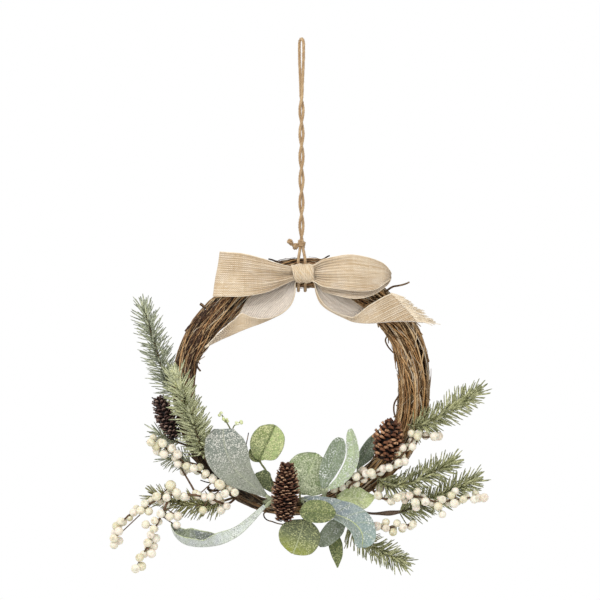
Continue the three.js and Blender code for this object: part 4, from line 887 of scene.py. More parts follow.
# Where the bundle of twigs lies, by the degrees round the ring: how far its middle is from the ring's centre,
# and its girth as a share of its fullest
BUNDLE_PLACES = np.array([
    [0, 111.5, 1], [29, 114.4, 1.06], [48, 113.6, 1], [90, 115.5, 0.95], [118, 114.4, 0.92],
    [134, 113, 0.96], [152, 116, 0.86], [168, 119.4, 0.72], [186, 119.6, 0.68], [204, 122, 0.5],
    [222, 123.6, 0.42], [248, 124, 0.42], [272, 119, 0.55], [305, 112, 0.75], [330, 112.4, 0.94],
    [360, 111.5, 1],
])


def bundle_at(angle):
    """The bundle's radius from the ring's centre and its girth, at angles in radians."""
    degrees = np.degrees(angle) % 360
    k = np.clip(np.searchsorted(BUNDLE_PLACES[:, 0], degrees, side="right") - 1, 0, len(BUNDLE_PLACES) - 2)
    low, high = BUNDLE_PLACES[k], BUNDLE_PLACES[k + 1]
    share = eased(degrees, low[..., 0], high[..., 0])
    return tuple(low[..., c] + (high[..., c] - low[..., c]) * share for c in (1, 2))


def beside_bundle(angle, reach, turn):
    """A place beside the bundle's middle. Reach is in millimetres at full girth, and turn starts outward."""
    middle, girth = bundle_at(angle)
    radius = middle + girth * reach * np.cos(turn)
    depth = np.maximum(girth * reach * np.sin(turn), -BACK_DEPTH)
    return stacked(radius * np.cos(angle), radius * np.sin(angle), depth)


TWIG_STEP = math.radians(3.1)
KNUCKLE_GAPS = (18, 36)
KNUCKLE_LENGTH, KNUCKLE_RISE = 2, 0.5  # the rise is a share of the twig's radius
END_REACH, END_TAPER = 0.1, 0.12  # how far along, in radians, a twig's ends stand off and taper
RING_RADIUS = 115
CORE_RADIUS = 9.2
BACK_DEPTH = 18.5  # where the bundle's back is flat
THIN_START, THIN_END = math.radians(196), math.radians(286)  # the bundle's thin stretch
LONG_SPANS = (4.9, 6.2)  # of the twigs that pass through it, in radians
FIBRES, SNAGS = 1000, 150
FIBRE_REACHES = (14, 15.8)
FIBRE_TONES = [0.1, 0.5, 0.85, 0.95]
SNAG_REACH = 13


def ring_twig(shape, rng, start, span, reach, turn, winding, radius, tone, sides, ends_off=2.0):
    """A twig wound along the bundle, with knuckles and tapered ends that stand off a little."""
    steps = max(7, int(span / TWIG_STEP))
    share = np.linspace(0, 1, steps)
    angle = start + span * share
    ends = np.exp(-((share * span / END_REACH) ** 2)) + np.exp(-(((1 - share) * span / END_REACH) ** 2))
    reaches = reach + 0.6 * sway(rng, share, 4) + 0.35 * sway(rng, share, 16) + ends_off * ends
    turns = turn + winding * (angle - start) + 0.4 * span / 6 * sway(rng, share, 9)
    path = beside_bundle(angle, reaches, turns)
    far = distances(path)
    thick = radius * (1 - 0.35 * share) * (1 + 0.14 * sway(rng, share, 20))
    for knuckle in np.arange(rng.uniform(5, 30), far[-1], rng.uniform(*KNUCKLE_GAPS)):
        thick = thick * (1 + KNUCKLE_RISE * np.exp(-(((far - knuckle) / KNUCKLE_LENGTH) ** 2)))
    taper = np.clip(np.minimum(share, 1 - share) * span / END_TAPER, 0.35, 1)
    tones = np.clip(tone + 0.12 * sway(rng, share, 9), 0, 1)
    tube(shape, path, thick * taper, sides, tones, shift=40 * rng.random())


def fibre(shape, rng):
    """A short torn fibre or shoot that lies askew on the bundle."""
    ring_twig(
        shape, rng, start=rng.uniform(0, 2 * np.pi), span=rng.uniform(0.05, 0.26),
        reach=rng.uniform(*FIBRE_REACHES), turn=rng.uniform(0, 2 * np.pi), winding=rng.normal(0, 3.2),
        radius=rng.uniform(0.38, 0.72), tone=rng.choice(FIBRE_TONES), sides=4,
        ends_off=rng.uniform(-0.5, 0.9),
    )


# The layers of twigs, from the core out: how many, how far from the core, their radius, the span of their
# tones, one in how many passes through the thin stretch, how much they wind and how far that varies. The
# inner layers' darker tones are painted shade in the gaps between the outer twigs.
WOUND_LAYERS = [
    (24, 11, 1.6, (0.0, 0.12), 4, 0.25, 0.2),
    (58, 13.3, 0.78, (0.0, 0.5), 5, 0.4, 0.7),
    (44, 14.6, 0.66, (0.45, 1.0), 5, 0.8, 1.5),
]


def wound_layer(shape, rng, count, reach, radius, tones, through, winding, unruly):
    """A layer of twigs over the bundle. One in so many passes through its thin stretch."""
    for k in range(count):
        turn = 2 * np.pi * (k + rng.uniform(-0.3, 0.3)) / count
        if k % through == 0:
            start, span = rng.uniform(0, 2 * np.pi), rng.uniform(*LONG_SPANS)
        else:
            start = THIN_END + rng.uniform(-0.25, 0.9)
            span = THIN_START + 2 * np.pi - start - rng.uniform(-0.2, 1.1)
        ring_twig(
            shape, rng, start, span, reach=reach + rng.uniform(-0.9, 0.7),
            turn=turn - winding * (start % (2 * np.pi)), winding=winding + rng.uniform(-unruly, unruly),
            radius=radius * rng.uniform(0.7, 1.3), tone=rng.uniform(*tones), sides=5 if radius > 1 else 4,
        )


# Loose ends, from their root to their tip, with their thickness at each
LOOSE_TWIGS = [
    ([[82, 96, 8], [90, 101.4, 8], [98, 102.6, 9], [106.6, 105.9, 9]], 1.1, 0.8),
    ([[-90, 78, 2], [-97, 80.6, 3], [-103, 84, 4]], 1.7, 1.5),
    ([[-98, 78, 4], [-110, 66, 7], [-118, 56.6, 8]], 1.2, 0.8),
    ([[-107, 30, 4], [-106, 22, 6], [-102.6, 16.6, 7]], 1.4, 1.0),
    ([[120, 12, 4], [123.6, 22, 5], [124.6, 34, 5]], 1.0, 0.8),
    ([[90, 58, 4], [82.6, 48, 7], [86, 40, 6], [92, 34, 4]], 0.9, 0.7),
    ([[97, -6, 4], [91.4, -16, 7], [91.4, -26, 7], [96, -35, 4]], 0.9, 0.8),
    ([[14, 126, 2], [22, 130, 2], [27, 132.4, 2]], 1.0, 0.7),
    ([[-20, 124, 0], [-30, 128, 0], [-35, 129, 0]], 1.0, 0.8),
    ([[58, -104, 0], [66, -107.4, 4], [74, -108.6, 6]], 1.0, 0.7),
    ([[-84, -93, 2], [-91, -95, 5], [-103, -92.6, 6]], 0.8, 0.5),
    ([[-80, -101, 2], [-90, -103, 6], [-95, -101, 7], [-94, -98.6, 7]], 1.1, 1.4),
    ([[-30, -122, 6], [-39, -125.4, 10], [-38, -130.4, 11], [-30, -134, 11], [-18, -136.6, 10]], 0.8, 0.7),
    ([[-64, -102, 4], [-60, -76, 8], [-56.4, -56, 9], [-54, -45, 9]], 0.7, 0.5),
]


def loose_twig(shape, rng, points, thick, thin, tone):
    """A loose end that stands off the ring and wanders a little."""
    path = smooth(points, 1.4)
    share = np.linspace(0, 1, len(path))
    wander = np.stack([sway(rng, share, 5) for _ in range(3)], -1)
    radii = thick + (thin - thick) * share
    tube(shape, path + 0.4 * wander * share[:, None], radii, 6, tone, shift=30 * rng.random())


def snag(shape, rng):
    """A short side shoot that stands off the bundle."""
    share = np.linspace(0, 1, 6)
    angle = rng.uniform(0, 2 * np.pi)
    turn = rng.uniform(-np.pi, np.pi)
    sense = rng.choice([-1, 1])
    angles = angle + sense * share * rng.uniform(4, 14) / RING_RADIUS
    reaches = SNAG_REACH + share * rng.uniform(1.5, 5) / bundle_at(angle)[1]
    path = beside_bundle(angles, reaches, turn + share * rng.normal(0, 0.3))
    thick = rng.uniform(0.55, 1.05)
    tube(shape, path, thick * (1 - 0.4 * share), 5, rng.uniform(0.1, 0.9), shift=30 * rng.random())


rng = np.random.default_rng(6)
ring_shape = Shape()
core_angles = np.linspace(0, 2 * np.pi, 140)
# the core has the darkest tone: painted shade deep inside the bundle
tube(ring_shape, beside_bundle(core_angles, 0, 0), CORE_RADIUS * bundle_at(core_angles)[1], 14, 0.0)
for layer in WOUND_LAYERS:
    wound_layer(ring_shape, rng, *layer)
for start_turn in (0, math.pi):
    ring_twig(
        ring_shape, rng, start=0.2, span=2 * np.pi - 0.05, reach=14.6, turn=start_turn, winding=1.5,
        radius=1.2, tone=0.65, sides=6,
    )
for _ in range(FIBRES):
    fibre(ring_shape, rng)
for points, thick, thin in LOOSE_TWIGS:
    loose_twig(ring_shape, rng, points, thick, thin, rng.uniform(0.0, 0.25))
for _ in range(SNAGS):
    snag(ring_shape, rng)
piece_of(ring_shape, "wound_twigs", [bark_look()], "twigs", "twig_ring")

# Cones

SPIRAL_TURN = math.radians(137.508)  # from one scale or needle to the next
CORE_SHARE = 0.55  # the core's radius, as a share of the cone's
CONE_STALK_RADIUS = 1.6
SCALE_ROWS, SCALE_COLUMNS = 7, 5
SCALE_THICKNESS, SCALE_UNEVENNESS = 0.5, 0.16


def cone(name, rng, foot, top, radius, count, scale_width, climb, lip, stalk, material):
    """Open scales on a spiral round a spindle, with ragged thick ends. Climb is how steeply they rise."""
    shape = Shape()
    foot, top = np.array(foot, float), np.array(top, float)
    height = np.linalg.norm(top - foot)
    axis, side, across = (directions[0] for directions in frames(np.array([foot, top])))
    v = np.linspace(0, 1, SCALE_ROWS)[:, None]
    u = np.linspace(-1, 1, SCALE_COLUMNS)
    outline = np.interp(v, [0, 0.35, 0.75, 0.92, 1], [0.4, 0.72, 1, 0.85, 0.4])

    def girth(t):
        return radius * np.sin(np.pi * (0.12 + 0.8 * t)) ** 0.6

    core_steps = np.linspace(0, 1, 14)
    core = foot + (top - foot) * (0.03 + 0.9 * core_steps[:, None])
    # the core takes the darkest tone: painted shade between the scales
    tube(shape, core, CORE_SHARE * girth(core_steps), 10, 0.0)
    for k in range(count):
        t = (k + 0.5) / count
        out = around(side, across, k * SPIRAL_TURN + rng.normal(0, 0.08))
        beside = np.cross(axis, out)
        steep = climb * rng.uniform(0.7, 1.3) + 0.9 * t**5
        reach = girth(t) * rng.uniform(0.88, 1.06)
        inner = 0.3 * reach
        fullness = 0.6 + 0.4 * math.sin(math.pi * (0.15 + 0.75 * t))
        width = scale_width * rng.uniform(0.85, 1.15) * fullness / 2
        radial = inner + (reach - inner) * v - 0.2 * width * (u * outline) ** 2
        up = t * (height - 0.9 * reach * t) + steep * (reach - inner) * v**1.4 - 0.12 * width * u**2 * v
        place = (
            foot
            + axis * up[..., None]
            + out * radial[..., None]
            + beside * (u * outline * width)[..., None]
            + rng.normal(0, SCALE_UNEVENNESS, (SCALE_ROWS, SCALE_COLUMNS, 3)) * v[..., None]
        )
        thickness = SCALE_THICKNESS + (lip - SCALE_THICKNESS) * v**4
        tone = v * rng.uniform(0.78, 1.0)
        slab(shape, place, thickness, tone, stacked(u * width, float(k), v * reach))
    tube(shape, smooth(stalk, 3), CONE_STALK_RADIUS, 7, 0.2)
    piece_of(shape, name + "_scales", [material], "cone", name)


rng = np.random.default_rng(7)
cone(
    "pine_cone_middle", rng, foot=[-19, -133, 32], top=[-15.6, -72.6, 36], radius=14.2, count=280,
    scale_width=5.6, climb=0.3, lip=1, stalk=[[-16, -114, 28], [-16, -108, 14], [-16, -117, 2]],
    material=cone_look("cone_middle", (26, 12, 9), (106, 64, 42), (226, 184, 146)),
)
cone(
    "pine_cone_right", rng, foot=[80, -72, 27], top=[90.5, -30.6, 30.5], radius=15.8, count=96,
    scale_width=7.4, climb=0.35, lip=2.6, stalk=[[83, -56, 22], [90, -60, 12], [94, -62, 4]],
    material=cone_look("cone_right", (32, 18, 12), (122, 74, 46), (216, 166, 124)),
)
cone(
    "pine_cone_left", rng, foot=[-127, -51, 9], top=[-146, -8, 6], radius=11.6, count=120,
    scale_width=5.4, climb=0.5, lip=1.2, stalk=[[-129, -44, 6], [-120, -41, 4], [-112, -39, 2]],
    material=cone_look("cone_left", (24, 14, 14), (88, 60, 52), (178, 150, 134)),
)

# Leaves

# Half-widths from the base to the tip, as shares of the widest
LEAF_SHAPES = {
    "round": [[0, 0.1], [0.09, 0.55], [0.28, 0.92], [0.52, 1], [0.77, 0.84], [0.93, 0.46], [1, 0.08]],
    "paddle": [[0, 0.08], [0.14, 0.28], [0.3, 0.52], [0.5, 0.84], [0.7, 1], [0.86, 0.9], [0.95, 0.66],
               [1, 0.46]],
    "boat": [[0, 0.16], [0.15, 0.3], [0.35, 0.48], [0.55, 0.64], [0.7, 0.8], [0.78, 0.8], [0.86, 0.68],
             [0.94, 0.42], [1, 0.08]],
    "blunt": [[0, 0.14], [0.12, 0.5], [0.3, 0.86], [0.5, 1], [0.72, 0.97], [0.88, 0.76], [0.96, 0.5],
              [1, 0.24]],
    "pointed": [[0, 0.1], [0.18, 0.6], [0.42, 1], [0.66, 0.84], [0.86, 0.42], [1, 0.04]],
    "oval": [[0, 0.12], [0.2, 0.58], [0.46, 1], [0.72, 0.9], [0.9, 0.54], [1, 0.08]],
}
LEAF_STEP = 1.3
LEAF_THICKNESS = 0.9
NARROWEST_HALF = 0.5
SPINE_STEP = 0.6
RIB_DEPTH, RIB_REACH = 0.55, 0.9
VEIN_PITCH, VEIN_HEIGHT = 5, 0.22
RIPPLE_SHARE = 0.03  # the edge's waves, as a share of the blade's width


def leaf(
    shape, rng, stalk, spine, width, outline, face, cup,
    tip_face=None, turning=(0, 1), stem=1.0, looks=(0, 1),
):
    """A stalk and a blade along its spine, with a sunk midrib, raised veins and a slightly waved edge. The
    blade turns its face to the tip's between two shares of its length."""
    tip_face = face if tip_face is None else tip_face
    whole = smooth([*stalk, *spine], SPINE_STEP)
    far = distances(whole)
    base = far[-1] - distances(smooth(spine, SPINE_STEP))[-1]
    u = np.linspace(0, 1, int((far[-1] - base) / LEAF_STEP) + 1)
    at = base + (far[-1] - base) * u
    line = rows_at(at, far, whole)
    along = unit(np.gradient(line, axis=0))
    turned = np.clip((u - turning[0]) / (turning[1] - turning[0]), 0, 1)
    facing = np.array(face) + (np.array(tip_face, float) - face) * turned[:, None]
    side = unit(np.cross(along, facing))
    out = np.cross(side, along)
    shares = np.array(LEAF_SHAPES[outline])
    rows = smooth(stacked(shares[:, 0], shares[:, 1], 0), 0.02)
    half = np.maximum(np.interp(u, rows[:, 0], rows[:, 1]) * width / 2, NARROWEST_HALF)
    q = np.linspace(-1, 1, max(9, int(width / LEAF_STEP) // 2 * 2 + 1))
    ripple = sway(rng, u, 6)[:, None] * np.abs(q) ** 3 * np.sign(q)
    lift = half[:, None] * cup * (np.sqrt(q**2 + 0.02) - 0.14)
    across = half[:, None] * q
    rib = -RIB_DEPTH * np.exp(-((across / RIB_REACH) ** 2))
    slant = at[:, None] - VEIN_SLANT * np.abs(across)
    veins = VEIN_HEIGHT * np.cos(2 * np.pi * slant / VEIN_PITCH) * np.exp(-((np.abs(q) - 0.5) ** 2) / 0.1)
    height = lift + rib + veins + RIPPLE_SHARE * width * ripple
    grid = line[:, None] + side[:, None] * across[..., None] + out[:, None] * height[..., None]
    edge = LEAF_THICKNESS * (1 - 0.55 * np.abs(q) ** 4)
    slab(shape, grid, edge, u[:, None], stacked(across, q, (at - base)[:, None]), looks)
    tube(shape, whole[far <= base + 2][::3], stem, 7, 0.2, 2)


leaf_shapes = []  # they hold back the fir's needles later


def leafy_stem(name, slot, looks, *leaves):
    """A stem's leaves. Their looks are the upper side's, the underside's and the stem's."""
    shape = Shape()
    rng = np.random.default_rng(len(name) * 7)
    for one in leaves:
        leaf(shape, rng, **one)
    piece_of(shape, name + "_blades", looks, slot, name)
    leaf_shapes.append(shape)


silver_stem = stem_look("silver_stem", (140, 146, 118), (190, 196, 160))
green_stem = stem_look("green_stem", (84, 88, 56), (140, 144, 96))

silver_upright = leaf_look(
    "lambs_ear_upright", (138, 142, 126), (164, 168, 146), (158, 162, 146), (238, 236, 224),
    end=(110, 120, 116), vein_size=7, frosting=0.5, shown=0.12, dusted=(0.35, 0.8),
)
silver_under = leaf_look(
    "lambs_ear_under", (204, 210, 208), (212, 218, 204), (182, 196, 134),
    vein_size=7, frosting=0.5, shown=0.1,
)
grey_upper = leaf_look(
    "lambs_ear_grey", (118, 124, 122), (150, 160, 130), (196, 206, 150),
    vein_size=7, frosting=0.3, shown=0.1,
)
# its darker own colour, on one half, is painted shade where that half curls away from the light
blue_grey = leaf_look(
    "lambs_ear_drooping", (110, 122, 112), (196, 206, 146), (160, 176, 162),
    other=(126, 136, 142), end=(146, 166, 160), vein_size=11, frosting=0.3, shown=0.2, rib_width=0.7,
)
sage = leaf_look(
    "sage", (118, 130, 106), (140, 154, 120), (146, 160, 130),
    vein_size=4, frosting=0.18, shown=0.15, rib_width=0.6,
)
pale_sage = leaf_look(
    "pale_sage", (168, 184, 142), (190, 202, 160), (190, 202, 168),
    vein_size=4, frosting=0.45, shown=0.15, rib_width=0.6,
)
dark_sage = leaf_look(
    "dark_sage", (112, 126, 104), (136, 148, 122), (126, 138, 116),
    vein_size=4, frosting=0.1, shown=0.15,
)
# its dark, wide rib colour is painted shadow along the midrib's crease
yellow_green = leaf_look(
    "yellow_green", (172, 190, 122), (98, 112, 60), (150, 162, 122), YELLOW_FROST,
    other=(134, 146, 88), vein_size=6, frosting=0.6, shown=0.12, rib_width=1.6,
)
light_green = leaf_look(
    "light_green", (182, 194, 134), (206, 214, 160), (206, 214, 168), (230, 234, 200),
    other=(160, 174, 116), vein_size=6, frosting=0.45, shown=0.2,
)
mid_green = leaf_look(
    "mid_green", (138, 155, 106), (196, 208, 160), (150, 164, 124), (226, 232, 196),
    vein_size=9, frosting=0.75, shown=0.45,
)
dark_green = leaf_look(
    "dark_green", (84, 96, 54), (110, 120, 66), (112, 124, 80), (190, 194, 134),
    other=(102, 114, 68), vein_size=6, frosting=0.5, shown=0.15, rib_width=0.5,
)
two_green = leaf_look(
    "two_green", (102, 110, 80), (176, 182, 140), (116, 122, 84), (204, 208, 150),
    end=(152, 158, 60), vein_size=8, frosting=0.4, shown=0.3,
)
olive = leaf_look(
    "olive", (82, 92, 60), (104, 112, 76), (96, 106, 74), YELLOW_FROST,
    vein_size=5, frosting=0.12, shown=0.15,
)
grey_green = leaf_look(
    "grey_green", (126, 135, 114), (142, 150, 126), (134, 142, 120),
    vein_size=5, frosting=0.15, shown=0.15, rib_width=0.5,
)

leafy_stem(
    "lambs_ear_upright", "silver_leaf", [silver_upright, silver_under, silver_stem],
    dict(
        stalk=[[-36, -116, 1], [-29.5, -112, 18]],
        spine=[[-36.4, -107.6, 21], [-52, -95.6, 23.4], [-66.6, -82, 24.6], [-75.6, -66, 25], [-79, -52, 24],
               [-79.6, -40.6, 22]],
        width=43, outline="paddle", face=[0.1, -0.1, 1], cup=0.12, stem=1.9,
    ),
)
leafy_stem(
    "lambs_ear_lower_left", "silver_leaf", [grey_upper, silver_under, silver_stem],
    dict(
        stalk=[[-42, -116, 0], [-30, -111, 19]],
        spine=[[-37, -118, 21], [-53, -136, 23], [-63, -145.4, 25], [-77, -153.4, 26], [-92, -157, 26],
               [-106, -157.6, 25], [-118, -155, 23], [-126, -149, 22], [-130.4, -140, 21],
               [-131, -134.5, 20.5]],
        width=23, outline="boat", face=[0, 1, -1.3], tip_face=[0.15, 1, 0.6], turning=(0.35, 0.62), cup=1.8,
        stem=1.9,
    ),
)
leafy_stem(
    "lambs_ear_drooping", "silver_leaf", [blue_grey, silver_under, silver_stem],
    dict(
        stalk=[[2, -117, 2], [-1, -111, 16]],
        spine=[[0, -110, 19], [14, -117, 22], [31, -125, 26.6], [46, -131, 28.4], [55, -138.4, 28],
               [59.4, -147, 26], [58.8, -158.8, 22]],
        width=31, outline="blunt", face=[0.1, 1.2, 1], tip_face=[0.3, 0.15, 0.9], turning=(0.45, 0.95),
        cup=0.55, stem=1.6,
    ),
)
leafy_stem(
    "lambs_ear_pair", "sage_leaf", [sage, pale_sage, silver_stem],
    dict(
        stalk=[[22, -114, 2], [21, -107, 15]],
        spine=[[20.4, -101, 19.4], [25, -84, 18.6], [33, -66, 17], [37.4, -49.5, 16.5]],
        width=20, outline="blunt", face=[-0.25, 0, 1], cup=0.3, stem=2,
    ),
    dict(
        stalk=[[21, -107, 15], [22.4, -103.4, 19]],
        spine=[[24, -101, 21.6], [38, -92, 25], [50.4, -71, 25], [47.4, -40.5, 19]],
        width=15, outline="blunt", face=[-0.55, 0.1, 0.8], cup=0.35, stem=2, looks=(1, 1),
    ),
)
leafy_stem(
    "lambs_ear_dark", "sage_leaf", [dark_sage, dark_sage, silver_stem],
    dict(
        stalk=[[64, -92, 0], [58, -88, 3]],
        spine=[[54.6, -82, 3], [62, -68, 1], [69, -55, 0], [76, -42, -1]],
        width=15, outline="pointed", face=[0.2, 0, 1], cup=0.25,
    ),
)
leafy_stem(
    "eucalyptus_left", "green_leaf", [yellow_green, olive, green_stem],
    dict(
        stalk=[[-26, -115, 1], [-31, -93, 9], [-38, -81, 9]],
        spine=[[-43, -72.4, 10], [-38, -60, 12], [-32.6, -48, 11.6], [-28, -37, 9]],
        width=34, outline="round", face=[-0.1, 0, 1], cup=0.14,
    ),
    dict(
        stalk=[[-38, -81, 9], [-41, -77, 9]],
        spine=[[-43, -74, 8.6], [-48, -70, 7], [-53, -61, 6]],
        width=9, outline="oval", face=[-0.2, 0, 1], cup=0.2,
    ),
    dict(
        stalk=[[-31, -93, 9], [-30, -99, 11]],
        spine=[[-31, -103.6, 12], [-36, -97, 13], [-40.6, -90, 13], [-43.4, -83.4, 12.4]],
        width=18, outline="paddle", face=[0.3, -0.2, 1], cup=0.3, looks=(1, 1),
    ),
)
leafy_stem(
    "eucalyptus_behind_cone", "green_leaf", [mid_green, grey_green, green_stem],
    dict(
        stalk=[[-2, -117, 0], [-3, -109, 12]],
        spine=[[-3, -106, 13.6], [2, -95, 12.4], [8, -80, 11], [14, -65.5, 10]],
        width=46, outline="round", face=[0, 0, 1], cup=0.08,
    ),
)
leafy_stem(
    "eucalyptus_front", "green_leaf", [dark_green, grey_green, green_stem],
    dict(
        stalk=[[8, -120, 2], [1, -124, 24]],
        spine=[[-3, -122, 37], [8, -122, 41.6], [20, -122.8, 43], [32.6, -124, 42.6]],
        width=24, outline="round", face=[0.05, 0.3, 1], cup=0.14,
    ),
)
leafy_stem(
    "eucalyptus_bottom", "green_leaf", [two_green, grey_green, green_stem],
    dict(
        stalk=[[-4, -120, 2], [0, -129, 13]],
        spine=[[1, -131, 19.4], [-2, -143, 22], [-6, -155, 21], [-10, -165.5, 18]],
        width=42, outline="round", face=[0, 0.15, 1], cup=0.1,
    ),
)
leafy_stem(
    "eucalyptus_lower_right", "green_leaf", [grey_green, dark_green, green_stem],
    dict(
        stalk=[[35, -113, 0], [36, -126, 9]],
        spine=[[45, -127.5, 12], [36, -136, 15.4], [25.6, -147, 17], [16.4, -158.2, 15]],
        width=19, outline="oval", face=[0.2, 0.1, 1], cup=0.2,
    ),
    dict(
        stalk=[[36, -126, 9], [34, -133, 8]],
        spine=[[32.4, -140, 7], [32, -153, 7], [34, -167, 7], [34.5, -180, 6]],
        width=14, outline="pointed", face=[0.1, 0, 1], cup=0.25, looks=(1, 0),
    ),
)
leafy_stem(
    "eucalyptus_pointed", "green_leaf", [light_green, grey_green, green_stem],
    dict(
        stalk=[[38, -108, 4], [34, -107, 10]],
        spine=[[34, -108, 13], [47, -109.6, 13.6], [60, -111, 13], [72.4, -108.4, 12]],
        width=25, outline="pointed", face=[0.1, 0.1, 1], cup=0.18,
    ),
)

# The bud sprig

# The fork's two stems, each with the spacing of its points and its radius, and the buds
SPRIG_STEMS = [
    ([[-60, -107, 1], [-62, -80, 14], [-67, -55, 15], [-73, -40, 15], [-81, -27, 15]], 2, 0.75),
    ([[-71, -45, 15], [-69, -38, 15.6], [-63, -34, 16]], 1.5, 0.65),
]
BUDS = [[-82, -26, 15], [-79.4, -31, 16], [-76.6, -33, 13.6], [-67, -35.6, 17], [-62, -33.6, 16]]
SCALES_PER_BUD = 3

sprig_shape = Shape()
rng = np.random.default_rng(8)
for points, spacing, radius in SPRIG_STEMS:
    tube(sprig_shape, smooth(points, spacing), radius, 6, 0.2)
for bud in BUDS:
    for _ in range(SCALES_PER_BUD):
        middle = np.array(bud) + rng.normal(0, 0.8, 3)
        radius, axis = rng.uniform(1.3, 1.9), rng.normal(0, 1, 3)
        ball(sprig_shape, middle, radius, axis, rings=6, sides=8, dent=0.1, tone=rng.random(), look=1)
bud_look = fir_look("bud", (198, 206, 138), (222, 228, 176), WHITE_FROST)
piece_of(sprig_shape, "bud_sprig_buds", [green_stem, bud_look], "buds", "bud_sprig")

# Berries

# Each spray's stems, from inside the ring to the tip, with the share along where the berries start, and the
# berries that show from the front: right, up and, for a larger one, its radius.
BERRY_SPRAYS = {
    "berry_spray_upper_left": dict(
        stems=[
            ([[-60, -108, 1], [-67, -108, 14], [-81, -101.5, 17], [-98, -87, 16], [-113, -79, 13],
              [-126, -68, 13], [-140, -58, 14], [-153, -51, 15]], 0.14),
        ],
        berries=[
            (-152, -54), (-147, -58), (-140, -55), (-146, -63), (-139, -66), (-131, -60), (-125, -66),
            (-125, -76), (-116, -78), (-109, -80), (-103, -79), (-97, -85), (-90, -91), (-83, -96, 5.4),
            (-73, -99), (-78, -105), (-68, -104), (-84, -108), (-98, -109), (-105, -107), (-92, -108),
        ],
    ),
    "berry_spray_lower_left": dict(
        stems=[
            ([[-64, -107, 0], [-76, -116, 10], [-92, -110.5, 17], [-110, -106.5, 19], [-128, -106, 20],
              [-146, -112, 19], [-160, -119, 16], [-174, -127, 12], [-183, -137, 9], [-190, -153, 6]], 0.16),
            ([[-132, -106.5, 20], [-141, -126, 21], [-148, -141, 20], [-156, -159, 18],
              [-167, -180, 15]], 0.12),
            ([[-106, -107.4, 18.6], [-112, -97, 8], [-123, -79, 2]], 0.8),
        ],
        berries=[
            (-132, -97, 5.5), (-146, -108), (-136, -109), (-126, -104), (-119, -108), (-158, -115),
            (-162, -122), (-169, -124), (-154, -123), (-182, -133), (-187, -138), (-184, -143), (-189, -150),
            (-184, -153), (-189, -157), (-133, -128), (-142, -125), (-126, -137), (-125, -128), (-148, -132),
            (-157, -136), (-149, -140), (-152, -146), (-147, -150), (-155, -154), (-149, -158), (-151, -165),
            (-163, -169), (-161, -178), (-167, -180), (-82, -122), (-76, -118), (-100, -122),
        ],
    ),
    "berry_spray_upper_right": dict(
        stems=[
            ([[44, -104, 6], [48, -96, 19], [63, -88, 22], [80, -81.4, 24], [95, -70.6, 29],
              [104.5, -59, 29], [112, -48.6, 25], [123, -49, 19], [135, -48, 15]], 0.1),
        ],
        berries=[
            (108, -45), (114, -48), (99, -59), (109, -58), (94, -64), (95, -74), (101, -73), (86, -79),
            (80, -80), (68, -84), (63, -85), (60, -82), (53, -88), (31, -101), (40, -100), (131, -48),
            (135.5, -48),
        ],
    ),
    "berry_spray_middle_right": dict(
        stems=[
            ([[66, -98, 2], [79, -110, 14], [93, -110.5, 18], [107, -108, 20], [119, -109, 20],
              [133, -113.5, 19], [146, -112.5, 17], [159, -110.5, 15], [171, -109, 13],
              [182, -108, 11]], 0.14),
        ],
        berries=[
            (59, -97), (77, -100), (75, -107), (88, -113), (94, -109), (99, -107), (106, -107), (114, -103),
            (122, -113), (112, -114), (113, -119), (139, -111), (135, -118), (139, -126), (148, -107),
            (152, -103), (151, -115), (160, -111), (171, -111), (176, -110), (181, -109),
        ],
    ),
    "berry_spray_lower_right": dict(
        stems=[
            ([[53, -102, 2], [63, -128, 5], [74, -137, 8], [86, -139, 10], [99, -137.5, 11],
              [110, -136, 11]], 0.4),
        ],
        berries=[(74, -138), (83, -134), (83, -140), (94, -135), (90, -144), (100, -139), (110, -136)],
    ),
}
BERRY_STEM_RADIUS = 1.1
BERRY_RADII = (3.9, 4.7)
HIDDEN_SHARE = 0.92  # the hidden berries' size
BERRY_STALK_RADIUS = 0.6
HIDDEN_SPACING = 9  # between the berries behind a stem
BERRY_OVERLAP = 0.4  # how far two berries may run into each other
SETTLE_ROUNDS = 40


def settle(centres, radii):
    """Moves berries forward or back until they hardly run into each other."""
    for _ in range(SETTLE_ROUNDS):
        for i in range(len(centres)):
            gap = centres - centres[i]
            reach = radii + radii[i] - BERRY_OVERLAP
            flat = gap[:, 0] ** 2 + gap[:, 1] ** 2
            near = (flat + gap[:, 2] ** 2 < reach**2) & (np.arange(len(centres)) != i)
            for j in np.nonzero(near)[0]:
                wanted = math.sqrt(max(reach[j] ** 2 - flat[j], 0.01))
                push = (wanted - abs(gap[j, 2])) / 2
                sense = 1 if gap[j, 2] > 0 or (gap[j, 2] == 0 and j > i) else -1
                centres[j, 2] += sense * push
                centres[i, 2] -= sense * push
    return centres


